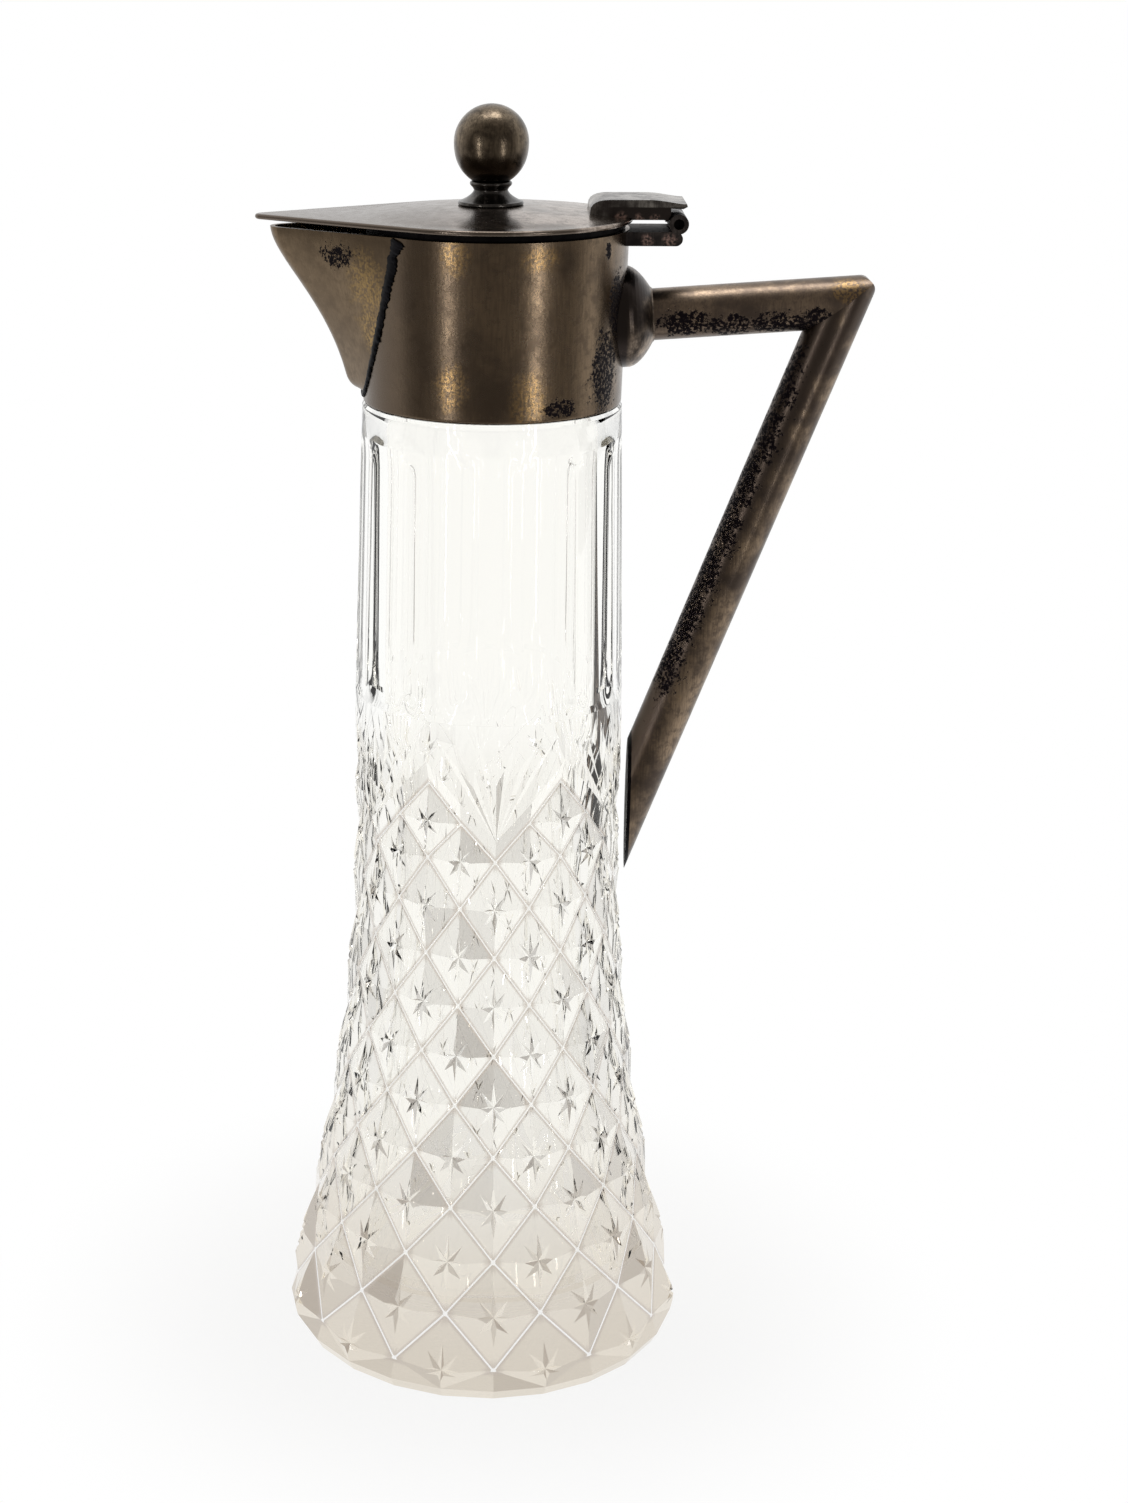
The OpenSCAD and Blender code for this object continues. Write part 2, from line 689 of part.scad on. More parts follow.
// The strap rises from the dome in a round scoop, runs back over the rim and
// ends in a lip over the knuckles; its side is drawn in X and Z.
strap_top = lid_top + strap_h;
strap_low = lid_under + 0.8;
strap_front = 4.5;
block_start = strap_x + 6;
block_end = pin_x - 1.8;
module strap_side() {
    polygon(concat(
        curve([[strap_x, strap_top - 2.6], [strap_x, strap_top - 0.8],
            [strap_x + strap_t, strap_top], [strap_x + strap_front, strap_top]], 6),
        curve([[pin_x - 6, strap_top], [pin_x - 2.6, strap_top - 0.2],
            [pin_x - 0.6, strap_top - 0.9], [pin_x + 1.6, strap_top - 0.9]], 6),
        [[pin_x + 1.8, strap_top - 1.5], [pin_x + 0.8, strap_top - 2]],
        [[pin_x - 2, strap_top - strap_t - 0.2], [block_start - 1, strap_top - strap_t],
         [block_start - 1, strap_low], [strap_x, strap_low]]));
}

// The block under the strap, and the tongue that leads to the middle knuckle
module strap_block() {
    translate([block_start - 2, -block_w / 2, strap_low])
    cube([block_end - block_start + 2, block_w, strap_top - strap_t / 2 - strap_low]);
    translate([block_end - 1, -middle_w / 2, pin_z])
    cube([pin_x - block_end + 1, middle_w, knuckle_r]);
}

module hinge_lid_leaf() {
    color(silver_c)
    difference() {
        union() {
            rotate([90, 0, 0])
            linear_extrude(height = hinge_w, center = true) strap_side();
            strap_block();
            hinge_bar(knuckle_r, middle_w);
        }
        dome_outside();
        translate([0, 0, lid_under - 1]) linear_extrude(height = lid_t + 1) lid_outline();
        for (side = [-1, 1])
            translate([0, side * (hinge_w + middle_w) / 2, 0])
            hinge_bar(knuckle_r + leaf_gap, hinge_w);
        hinge_bar(pin_r + pin_fit, hinge_w);
    }
}

// ---------------------------------------------------------------- lid

module lid_plate() {
    color(silver_c)
    difference() {
        union() {
            translate([0, 0, lid_under]) linear_extrude(height = lid_t) lid_outline();
            dome_outside();
        }
        dome_solid(lid_t, bezel_bore, lid_under - 1);
        translate([finial_x, 0, 0]) cylinder(r = stud_r, h = dome_top + 1);
    }
}

bezel_r = collar_top_r - collar_wall - spigot_gap;
bezel_bore = bezel_r - bezel_wall;
shoulder_r = collar_top_r - 0.9;

// Ring under the lid: a shoulder over the collar's rim and a spigot inside it
module lid_bezel() {
    color(silver_c)
    rotate_extrude()
    polygon([[bezel_bore, rim_z - spigot_h], [bezel_r, rim_z - spigot_h],
        [bezel_r, rim_z + lid_gap], [shoulder_r, rim_z + lid_gap],
        [shoulder_r, lid_under], [bezel_bore, lid_under]]);
}

// ---------------------------------------------------------------- finial

spool_low = dome_top - 0.6;
spool_top = dome_top + spool_h - 1;
ball_z = spool_top + ball_r;
// The nut's corners meet the dome's underside
nut_top = dome_z(nut_r + abs(finial_x)) - lid_t;
// The stud stands a little out of the nut
stud_proud = 1.2;
stud_low = nut_top - nut_h - stud_proud;
stud_top = ball_z;

module finial_spool() {
    color(silver_c)
    difference() {
        translate([finial_x, 0, 0])
        rotate_extrude()
        polygon(concat([[0, spool_low], [spool_foot_r, spool_low], [spool_foot_r, spool_low + 0.8]],
            curve([[spool_foot_r - 0.4, spool_low + 0.9], [spool_waist_r + 0.8, spool_low + 1.9],
                [spool_waist_r - 0.1, spool_low + 3.0], [spool_waist_r, spool_top - 1.9]], 8),
            [[ring_r, spool_top - 1.0], [ring_r, spool_top - 0.2], [ring_r - 0.4, spool_top],
             [0, spool_top]]));
        dome_outside();
        translate([finial_x, 0, 0]) cylinder(r = stud_r, h = ball_z);
    }
}

module finial_ball() {
    color(silver_c)
    translate([finial_x, 0, 0])
    difference() {
        rotate_extrude()
        polygon(concat(
            [[0, spool_top], [ring_r - 0.5, spool_top]],
            curve([[ring_r - 0.1, spool_top + 0.2], [0.78 * ball_r, spool_top + 1.7],
                [ball_r, ball_z - 0.52 * ball_r], [ball_r, ball_z]], 9),
            [for (a = [10:10:80]) [ball_r * cos(a), ball_z + ball_r * sin(a)]],
            [[0, ball_z + ball_r]]));
        cylinder(r = stud_r, h = stud_top);
    }
}

module finial_stud() {
    color(dark_c) translate([finial_x, 0, stud_low]) cylinder(r = stud_r, h = stud_top - stud_low);
}

module finial_nut() {
    color(dark_c)
    translate([finial_x, 0, 0])
    difference() {
        translate([0, 0, nut_top - nut_h]) cylinder(r = nut_r, h = nut_h, $fn = 6);
        translate([0, 0, stud_low]) cylinder(r = stud_r, h = 3 * nut_h);
    }
}

glass_body();
plaster_bed();
collar_band();
spout();
handle_boss();
handle_upper_arm();
handle_lower_arm();
handle_end_plate();
hinge_collar_leaf();
hinge_pin();
hinge_lid_leaf();
lid_plate();
lid_bezel();
finial_ball();
finial_spool();
finial_stud();
finial_nut();
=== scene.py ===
# Claret jug: a cut glass body, plated metal mounts with brown tarnish and a
# hinged lid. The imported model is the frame, and every piece is in metres.
import math

import bpy
import bmesh
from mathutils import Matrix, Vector, noise
from mathutils.kdtree import KDTree

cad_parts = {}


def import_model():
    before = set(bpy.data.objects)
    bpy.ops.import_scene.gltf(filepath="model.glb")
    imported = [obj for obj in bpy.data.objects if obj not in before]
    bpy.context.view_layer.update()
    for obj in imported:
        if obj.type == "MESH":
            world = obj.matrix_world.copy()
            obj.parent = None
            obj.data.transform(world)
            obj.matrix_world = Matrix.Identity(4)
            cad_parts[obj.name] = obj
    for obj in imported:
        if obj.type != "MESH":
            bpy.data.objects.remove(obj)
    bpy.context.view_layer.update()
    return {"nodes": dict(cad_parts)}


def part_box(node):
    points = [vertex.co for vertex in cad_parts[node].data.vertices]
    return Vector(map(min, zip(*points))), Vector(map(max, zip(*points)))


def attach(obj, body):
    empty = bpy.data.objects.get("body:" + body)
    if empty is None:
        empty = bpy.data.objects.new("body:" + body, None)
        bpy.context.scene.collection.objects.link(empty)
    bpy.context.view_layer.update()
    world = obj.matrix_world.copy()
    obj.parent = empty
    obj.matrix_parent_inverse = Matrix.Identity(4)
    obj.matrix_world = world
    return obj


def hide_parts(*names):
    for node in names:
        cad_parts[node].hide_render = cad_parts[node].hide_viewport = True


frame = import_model()
NODES = frame["nodes"]
MM = 0.001
TOUCHING = 0.001 * MM


# ------------------------------------------------------------ small helpers

def deselect_all():
    """Nothing is selected, so that an operator acts on one piece alone."""
    for obj in bpy.context.selected_objects:
        obj.select_set(False)


def pick(obj):
    """obj alone is selected and active."""
    deselect_all()
    obj.select_set(True)
    bpy.context.view_layer.objects.active = obj


def named(name):
    """The primitive that was just added, under its own name."""
    obj = bpy.context.object
    obj.name = name
    obj.data.name = name
    return obj


def enter_edit(obj):
    pick(obj)
    bpy.ops.object.mode_set(mode="EDIT")
    return bmesh.from_edit_mesh(obj.data)


def select_mesh():
    bpy.ops.mesh.select_all(action="SELECT")


def leave_edit():
    bpy.ops.object.mode_set(mode="OBJECT")


def settle(obj):
    """The place, turn and size go into the mesh."""
    pick(obj)
    bpy.ops.object.transform_apply(location=True, rotation=True, scale=True)


def weld(obj, distance=TOUCHING, fix_normals=True):
    """Vertices that lie on each other become one, and the faces point outwards."""
    enter_edit(obj)
    select_mesh()
    bpy.ops.mesh.remove_doubles(threshold=distance)
    if fix_normals:
        bpy.ops.mesh.normals_make_consistent(inside=False)
    leave_edit()


def join(pieces, name):
    pick(pieces[0])
    for piece in pieces:
        piece.select_set(True)
    bpy.ops.object.join()
    return named(name)


def smooth(obj, degrees):
    pick(obj)
    bpy.ops.object.shade_smooth_by_angle(angle=math.radians(degrees))


def polar(radius, degrees, z):
    turn = math.radians(degrees)
    return Vector((radius * math.cos(turn), radius * math.sin(turn), z))


def curve(p, count):
    """Points along the smooth curve through four control points."""
    points = []
    for i in range(count + 1):
        t = i / count
        s = 1 - t
        weights = (s ** 3, 3 * s * s * t, 3 * s * t * t, t ** 3)
        points.append(tuple(sum(w * q[k] for w, q in zip(weights, p)) for k in range(2)))
    return points


def turned(name, outline, steps):
    """An outline of radius and height, turned on a lathe about the jug's axis."""
    deselect_all()
    first = outline[0]
    bpy.ops.mesh.primitive_plane_add(size=MM, location=(first[0], 0, first[1]))
    obj = named(name)
    settle(obj)
    enter_edit(obj)
    select_mesh()
    bpy.ops.mesh.merge(type="CENTER")
    for here, there in zip(outline, outline[1:]):
        step = (there[0] - here[0], 0, there[1] - here[1])
        bpy.ops.mesh.extrude_vertices_move(TRANSFORM_OT_translate={"value": step})
    select_mesh()
    bpy.ops.mesh.spin(steps=steps, angle=math.tau, center=(0, 0, 0), axis=(0, 0, 1))
    leave_edit()
    weld(obj)
    return obj


# ------------------------------------------------------------- glass sizes

SHOULDER_Z = 0.238
RIM_TOP_Z = SHOULDER_Z + 0.024
FOOT_R = 0.0482
FOOT_EDGE_R = 0.0499
FOOT_EDGE_Z = 0.003
WIDE_R = 0.0509
WAIST_R = 0.0331
NECK_R = 0.0302
SPREAD = 1.87
COLUMNS = 12
HALF_STEP = 180 / COLUMNS
LATTICE_TURN = -86.2
ROWS = 10
LATTICE_TOP = 0.1346
ROW_FIRST = 0.012
ROW_GROWTH = 0.00015
V_ROW = 0.00924
CUT_DEPTH = 0.0027
V_BAND = 0.0057
FAN_TOP = 0.1665
FLUTES = 14
FLUTE_TURN = -89
FLUTE_DEPTH = 0.0010
FLUTE_FOOT = 0.1685
FLUTE_TOP = 0.2335
FLUTE_END = 0.009
FLUTE_LAND = 0.055
FLUTE_CUTS = 12
WALL_LOW = 0.007
WALL_NECK = 0.0047
BOTTOM_T = 0.014
GLASS_RIM_R = 0.027
GLASS_RIM_WALL = 0.0036


def row_z(k):
    """Height of half row k, counted down from the V points; k may be negative."""
    if k < 0:
        return LATTICE_TOP - k * V_ROW
    return LATTICE_TOP - k * ROW_FIRST - ROW_GROWTH * k * (k - 1) / 2


LOWEST_ROW = row_z(ROWS)


def envelope(z):
    """Radius over the points of the cutting at a height."""
    if z > LATTICE_TOP:
        share = (SHOULDER_Z - z) / (SHOULDER_Z - LATTICE_TOP)
        return NECK_R + (WAIST_R - NECK_R) * share
    share = max(0, LATTICE_TOP - z) / (LATTICE_TOP - LOWEST_ROW)
    return WAIST_R + (WIDE_R - WAIST_R) * share ** SPREAD


def cut(z):
    """Radius at the bottom of the cuts."""
    return envelope(z) * (1 - CUT_DEPTH / WIDE_R)


def on_lattice(c, k, radius):
    """A point of the lattice at half step c and half row k."""
    z = row_z(k)
    return polar(radius(z), LATTICE_TURN + c * HALF_STEP, z)


def on_foot(c):
    """A point of the foot's edge at half step c."""
    return polar(FOOT_EDGE_R, LATTICE_TURN + c * HALF_STEP, FOOT_EDGE_Z)


# ----------------------------------------------------------- glass cutting

STAR_TIP_UPRIGHT = 0.52
STAR_TIP_SIDE = 0.34
STAR_TIP_DIAGONAL = 0.44
STAR_BETWEEN = 0.16
STAR_SINK = 0.0016
RAY_TURN = 22.5
PATTERN_TOUCHING = 0.001


def star_diamond():
    """One diamond of the cutting on a unit square that stands on its corner: a
    star of eight rays in its middle, and plain facets out to its corners."""
    deselect_all()
    bpy.ops.mesh.primitive_circle_add(vertices=16, radius=1, fill_type="TRIFAN")
    obj = named("star_diamond")
    mesh = enter_edit(obj)
    rim = [v for v in mesh.verts if v.co.length > 0.5]
    for v in rim:
        angle = math.degrees(math.atan2(v.co.y, v.co.x)) % 360
        ray = round(angle / RAY_TURN)
        if ray % 2:
            reach = STAR_BETWEEN
        elif ray % 4 == 2:
            reach = STAR_TIP_DIAGONAL
        else:
            reach = STAR_TIP_SIDE if ray % 8 == 0 else STAR_TIP_UPRIGHT
        v.co = v.co.normalized() * reach
    for v in mesh.verts:
        if v.co.length < 0.01:
            v.co.z = -1
    bpy.ops.mesh.select_all(action="DESELECT")
    for edge in mesh.edges:
        if edge.is_boundary:
            edge.select = True
    bmesh.update_edit_mesh(obj.data)
    bpy.ops.mesh.extrude_edges_move()
    mesh = bmesh.from_edit_mesh(obj.data)
    for v in mesh.verts:
        if v.select:
            angle = math.degrees(math.atan2(v.co.y, v.co.x)) % 180
            upright = 44 < angle < 136  # the diagonal rays count as upright
            v.co.x, v.co.y = (0, math.copysign(1, v.co.y)) if upright \
                else (math.copysign(1, v.co.x), 0)
    bmesh.update_edit_mesh(obj.data)
    leave_edit()
    weld(obj, PATTERN_TOUCHING)
    star = obj.data.attributes.new("star", "FLOAT", "FACE")
    for face in obj.data.polygons:
        lowest = min(obj.data.vertices[i].co.z for i in face.vertices)
        star.data[face.index].value = float(lowest < 0)
    return obj


def bend_to_body(obj, middle, corners):
    """Lays a flat diamond over its five points on the body, so that each
    quarter stays flat. corners are right, top, left and bottom."""
    right, top, left, bottom = corners
    inward = -Vector((middle.x, middle.y, 0)).normalized()
    for v in obj.data.vertices:
        u, w, sink = v.co
        side = right if u > 0 else left
        end = top if w > 0 else bottom
        place = middle + abs(u) * (side - middle) + abs(w) * (end - middle)
        v.co = place - inward * sink * STAR_SINK


def lattice():
    """Every diamond of the body, as copies of one."""
    pattern = star_diamond()
    pieces = []
    for k in range(-1, ROWS + 1):
        for c in range(2 * COLUMNS):
            if (c + k) % 2 == 0 or (k == -1 and c % 4 != 2):
                continue
            copy = pattern.copy()
            copy.data = pattern.data.copy()
            bpy.context.collection.objects.link(copy)
            below = on_foot(c) if k == ROWS else on_lattice(c, k + 1, cut)
            corners = (on_lattice(c + 1, k, cut), on_lattice(c, k - 1, cut),
                       on_lattice(c - 1, k, cut), below)
            bend_to_body(copy, on_lattice(c, k, envelope), corners)
            pieces.append(copy)
    bpy.data.objects.remove(pattern)
    return pieces


RAYS = 7
RAY_SPREAD = 1.72
RAY_SINK = 0.0008
RAY_VALLEY = 0.55
RAY_RIDGE = 0.72
RIDGE_DROP = 0.002
TIP_FALL = 0.0012
TIP_SHORTER = 0.0016


def fan(column, mesh):
    """The band over a V and the rays that rise from its point."""
    def add(u, z, sink=0.0):
        turn = LATTICE_TURN + (column + u) * HALF_STEP
        return mesh.verts.new(polar(envelope(z) - sink, turn, z))

    valleys = [mesh.verts.new(on_lattice(column + u, -abs(u), cut)) for u in range(-2, 3)]
    edges = [add(u, row_z(-abs(u)) + V_BAND) for u in range(-2, 3)]
    for i in range(4):
        mesh.faces.new((valleys[i], valleys[i + 1], edges[i + 1], edges[i]))
    root = edges[2]
    spots = [RAY_SPREAD * (2 * i / (RAYS - 1) - 1) for i in range(RAYS)]
    tips = [add(u, FAN_TOP - TIP_FALL * abs(u) - TIP_SHORTER * (i % 2)) for i, u in enumerate(spots)]
    dips, ridges = [], []
    for u, tip in zip(spots, tips):
        z = root.co.z + RAY_VALLEY * (tip.co.z - root.co.z)
        dips.append(add(u * RAY_VALLEY, z, RAY_SINK))
    half = RAY_SPREAD / (RAYS - 1)
    for i in range(RAYS - 1):
        u = spots[i] + half
        z = root.co.z + RAY_RIDGE * (FAN_TOP - RIDGE_DROP - root.co.z)
        ridges.append(add(u * RAY_RIDGE, z))
    ridges = [edges[1]] + ridges + [edges[3]]
    for i in range(RAYS):
        mesh.faces.new((root, dips[i], ridges[i]))
        mesh.faces.new((root, ridges[i + 1], dips[i]))
        mesh.faces.new((ridges[i], dips[i], tips[i]))
        mesh.faces.new((ridges[i + 1], tips[i], dips[i]))
    for i in range(RAYS - 1):
        mesh.faces.new((tips[i], ridges[i + 1], tips[i + 1]))
    ring = [add(u, FLUTE_FOOT) for u in [-2] + spots + [2]]
    rise = [edges[0]] + tips + [edges[4]]
    mesh.faces.new((edges[0], edges[1], tips[0]))
    mesh.faces.new((edges[4], tips[-1], edges[3]))
    for i in range(RAYS + 1):
        mesh.faces.new((rise[i], rise[i + 1], ring[i + 1], ring[i]))


END_STEPS = 9
LOW_END_STEPS = 6
PLAIN_HEIGHTS = [0.186, 0.2, 0.214]
LOW_END_SHARE = 0.55
SHOULDER_ROUND = 0.0006
RIM_ROUND = 0.0008


def flute_sink(share, z):
    """Depth of a flute: share is -1..1 across it, and both ends are rounded."""
    across = share / (1 - FLUTE_LAND)
    high = max(0, (z - (FLUTE_TOP - FLUTE_END)) / FLUTE_END)
    low = max(0, (FLUTE_FOOT + FLUTE_END - z) / FLUTE_END)
    return FLUTE_DEPTH * max(0, 1 - across ** 2 - high ** 2 - LOW_END_SHARE * low ** 2)


def neck(mesh):
    """Flutes, the plain ring over them, the shoulder and the rim."""
    shares = [-1] + [(1 - FLUTE_LAND) * (2 * i / FLUTE_CUTS - 1) for i in range(FLUTE_CUTS + 1)]
    heights = [FLUTE_FOOT + FLUTE_END * i / LOW_END_STEPS for i in range(LOW_END_STEPS + 1)]
    heights += PLAIN_HEIGHTS
    heights += [FLUTE_TOP - FLUTE_END * (1 - i / END_STEPS) for i in range(END_STEPS + 1)]
    heights += [SHOULDER_Z - SHOULDER_ROUND]
    step = 360 / FLUTES
    rings = []
    for z in heights:
        ring = []
        for flute in range(FLUTES):
            for share in shares:
                turn = FLUTE_TURN + (flute + 0.5 * share) * step
                sink = flute_sink(share, z) if z > FLUTE_FOOT else 0
                ring.append(mesh.verts.new(polar(envelope(z) - sink, turn, z)))
        rings.append(ring)
    edge = [(NECK_R - SHOULDER_ROUND, SHOULDER_Z), (GLASS_RIM_R, SHOULDER_Z),
            (GLASS_RIM_R, RIM_TOP_Z - RIM_ROUND), (GLASS_RIM_R - RIM_ROUND, RIM_TOP_Z)]
    for radius, z in edge:
        rings.append([mesh.verts.new(polar(radius, math.degrees(math.atan2(v.co.y, v.co.x)), z))
                      for v in rings[0]])
    for low, high in zip(rings, rings[1:]):
        count = len(low)
        for i in range(count):
            j = (i + 1) % count
            mesh.faces.new((low[i], low[j], high[j], high[i]))


BOWL_ROUND = 0.012
BOWL_STEPS = 8
HOLLOW_STEPS = 24
THROAT_BELOW = 0.008
THROAT_BEND = 0.002
THROAT_STEP = 0.0004


def hollow_outline():
    """The inside of the glass, from the middle of the bottom up to the rim."""
    bowl_r = envelope(BOTTOM_T + BOWL_ROUND) - WALL_LOW
    points = [(0, BOTTOM_T)]
    for i in range(BOWL_STEPS + 1):
        a = math.radians(i * 90 / BOWL_STEPS)
        points.append((bowl_r - BOWL_ROUND * (1 - math.sin(a)),
                       BOTTOM_T + BOWL_ROUND * (1 - math.cos(a))))
    low, high = BOTTOM_T + BOWL_ROUND, SHOULDER_Z - THROAT_BELOW
    for i in range(HOLLOW_STEPS + 1):
        z = low + i * (high - low) / HOLLOW_STEPS
        share = max(0, z - LATTICE_TOP) / (SHOULDER_Z - LATTICE_TOP)
        points.append((envelope(z) - WALL_LOW + (WALL_LOW - WALL_NECK) * share, z))
    bore = GLASS_RIM_R - GLASS_RIM_WALL
    points += [(bore + THROAT_STEP, SHOULDER_Z - THROAT_BEND), (bore, SHOULDER_Z + THROAT_BEND),
               (bore, RIM_TOP_Z - RIM_ROUND), (bore + RIM_ROUND, RIM_TOP_Z)]
    return points


GROOVE_REACH = 0.00008
SKIN = 0.0042
FACET_STEPS = 24
CHANCE_SCALE = 0.731
CHANCE_SHIFT = Vector((0.37, 0.11, 0.53))
CHANCE_SPREAD = 50
STAR_CLEAR = 0.45
STAR_DULL = 0.85
# Painted shade: how much darker the plain facets that face up become, and how steeply
UP_SHADE = 0.24
UP_GAIN = 1.5
CHANCE_DULL = 0.56


def facet_shade_and_tone(normal, in_star):
    """How dark a facet is, from 0 to 1, by the way it faces. The stars vary most, and
    of the plain facets those that face up are darker, which is painted shade, and a third by chance,
    a random tone."""
    facing = Vector([round(n * FACET_STEPS) for n in normal])
    chance = CHANCE_SPREAD * noise.noise(facing * CHANCE_SCALE + CHANCE_SHIFT) % 1
    if in_star:
        return 0 if chance < STAR_CLEAR else STAR_DULL * chance
    # Painted shade: a plain facet darkens the more it faces up
    upward_shade = min(1, max(0, 0.5 + UP_GAIN * normal.z))
    return UP_SHADE * upward_shade + CHANCE_DULL * max(0, 3 * chance - 2)


def mark_cutting(body):
    """Marks the bottoms of the grooves and gives each flat facet its own tone: painted shade where
    it faces up, and a random tone.
    """
    groove = body.data.attributes.new("groove", "FLOAT", "POINT")
    for v in body.data.vertices:
        radius = math.hypot(v.co.x, v.co.y)
        in_cutting = LOWEST_ROW - MM < v.co.z < row_z(-2) + MM
        groove.data[v.index].value = float(in_cutting and abs(radius - cut(v.co.z)) < GROOVE_REACH)
    outside = body.data.attributes.new("outside", "FLOAT", "FACE")
    painted_shade_and_tone = body.data.attributes.new("painted_shade_and_tone", "FLOAT", "FACE")
    star = body.data.attributes["star"]
    for face in body.data.polygons:
        middle = face.center
        radius = math.hypot(middle.x, middle.y)
        outside.data[face.index].value = float(radius > envelope(middle.z) - SKIN)
        painted_shade_and_tone.data[face.index].value = facet_shade_and_tone(face.normal, star.data[face.index].value)


def bridge_rims(obj, height=None):
    """Joins the open edges, or those at a height, with a band of faces."""
    mesh = enter_edit(obj)
    bpy.ops.mesh.select_all(action="DESELECT")
    for edge in mesh.edges:
        middle_z = (edge.verts[0].co.z + edge.verts[1].co.z) / 2
        if edge.is_boundary and (height is None or abs(middle_z - height) < 0.2 * MM):
            edge.select = True
    bmesh.update_edit_mesh(obj.data)
    bpy.ops.mesh.bridge_edge_loops()
    leave_edit()


SMOOTH_UNDER = 9


def glass_body():
    """The whole glass, cut outside and smooth inside, as one closed skin."""
    pieces = lattice()
    deselect_all()
    bpy.ops.mesh.primitive_circle_add(vertices=2 * COLUMNS, radius=FOOT_EDGE_R,
                                      location=(0, 0, FOOT_EDGE_Z),
                                      rotation=(0, 0, math.radians(LATTICE_TURN)))
    foot = named("foot")
    settle(foot)
    enter_edit(foot)
    select_mesh()
    drop = (0, 0, -FOOT_EDGE_Z)
    bpy.ops.mesh.extrude_edges_move(TRANSFORM_OT_translate={"value": drop})
    share = FOOT_R / FOOT_EDGE_R
    bpy.ops.transform.resize(value=(share, share, 1), center_override=(0, 0, 0))
    bpy.ops.mesh.edge_face_add()
    leave_edit()
    pieces.append(foot)
    body = join(pieces, "cut_glass")
    mesh = enter_edit(body)
    for column in range(0, 2 * COLUMNS, 4):
        fan(column, mesh)
    for c in range(0, 2 * COLUMNS, 2):
        valley = mesh.verts.new(on_lattice(c, ROWS, cut))
        low = [mesh.verts.new(on_foot(c + i)) for i in (-1, 0, 1)]
        mesh.faces.new((low[0], low[1], valley))
        mesh.faces.new((low[1], low[2], valley))
    neck(mesh)
    bmesh.update_edit_mesh(body.data)
    leave_edit()
    weld(body, 4 * TOUCHING, fix_normals=False)
    bridge_rims(body, FLUTE_FOOT)
    inside = turned("hollow", hollow_outline(), FLUTES * (FLUTE_CUTS + 2))
    body = join([body, inside], "cut_glass")
    bridge_rims(body)
    weld(body, 2 * TOUCHING)
    smooth(body, SMOOTH_UNDER)
    mark_cutting(body)
    return body


# ------------------------------------------------------------- mount sizes

RIM_Z = 0.278
COLLAR_R = 0.030
COLLAR_FLARE = 0.0008
COLLAR_H = RIM_Z - SHOULDER_Z
LID_LOW, LID_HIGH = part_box("lid_plate")
LID_UNDER = LID_LOW[2]
DOME_TOP = LID_HIGH[2]
LID_T = 0.0012
LID_TOP = LID_UNDER + LID_T
LID_R = LID_HIGH[1]
TONGUE_X = -LID_LOW[0]
TONGUE_R = 0.0026
LID_BORDER = 0.0015
BEZEL_BORE = 0.02805
SPOUT_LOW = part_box("spout")[0]
SPOUT_REACH = -SPOUT_LOW[0]
SPOUT_DROP = 0.0374
SPOUT_ANGLE = 44
KEEL_R = 0.0044
SPOUT_WALL = 0.0011
BALL_LOW, BALL_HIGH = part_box("finial_ball")
FINIAL_X = (BALL_LOW[0] + BALL_HIGH[0]) / 2
BALL_R = (BALL_HIGH[0] - BALL_LOW[0]) / 2
BALL_Z = BALL_HIGH[2] - BALL_R
SPOOL_LOW, SPOOL_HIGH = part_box("finial_spool")


def collar_radius(z):
    return COLLAR_R + COLLAR_FLARE * (z - SHOULDER_Z) / COLLAR_H


def loft(name, rings):
    """A closed skin through rings of equally many points, each drawn out of the last."""
    deselect_all()
    bpy.ops.mesh.primitive_circle_add(vertices=len(rings[0]), radius=MM)
    obj = named(name)
    mesh = enter_edit(obj)
    for v, place in zip(mesh.verts, rings[0]):
        v.co = place
    select_mesh()
    for here, there in zip(rings, rings[1:]):
        bpy.ops.mesh.extrude_edges_move()
        tree = KDTree(len(here))
        for i, place in enumerate(here):
            tree.insert(place, i)
        tree.balance()
        for v in bmesh.from_edit_mesh(obj.data).verts:
            if v.select:
                v.co = there[tree.find(v.co)[1]]
        bmesh.update_edit_mesh(obj.data)
    select_mesh()
    bpy.ops.mesh.fill_holes(sides=0)
    leave_edit()
    weld(obj)
    return obj


# -------------------------------------------------------------------- lid

DISC_STEPS = 132
TIP_STEPS = 20
DOME_RINGS = 14
EDGE_STEPS = 8
LID_TOUCH = math.degrees(math.acos((LID_R - TONGUE_R) / (TONGUE_X - TONGUE_R)))


def lid_turns():
    """Angles of the lid's outline, round the disc and round the tongue's tip."""
    wide = 180 - LID_TOUCH
    disc = [wide - i * 2 * wide / DISC_STEPS for i in range(DISC_STEPS + 1)]
    tip = [180 + LID_TOUCH - i * 2 * LID_TOUCH / TIP_STEPS for i in range(1, TIP_STEPS)]
    return disc, tip


def lid_ring(inset, z):
    """The lid's outline, moved in by a distance."""
    disc, tip = lid_turns()
    tip_r = max(TONGUE_R - inset, 0.1 * MM)
    tip_x = (LID_R - inset - tip_r) / math.cos(math.radians(LID_TOUCH))
    points = [polar(LID_R - inset, a, z) for a in disc]
    return points + [polar(tip_r, a, z) - Vector((tip_x, 0, 0)) for a in tip]


def round_ring(radius, z):
    """A circle with the same points as the lid's outline."""
    disc, tip = lid_turns()
    return [polar(radius, a, z) for a in disc + tip]


def dome_z(radius):
    dome_r = LID_R - LID_BORDER
    rise = DOME_TOP - LID_TOP
    ball = (dome_r ** 2 + rise ** 2) / (2 * rise)
    return DOME_TOP - ball + math.sqrt(ball ** 2 - radius ** 2)


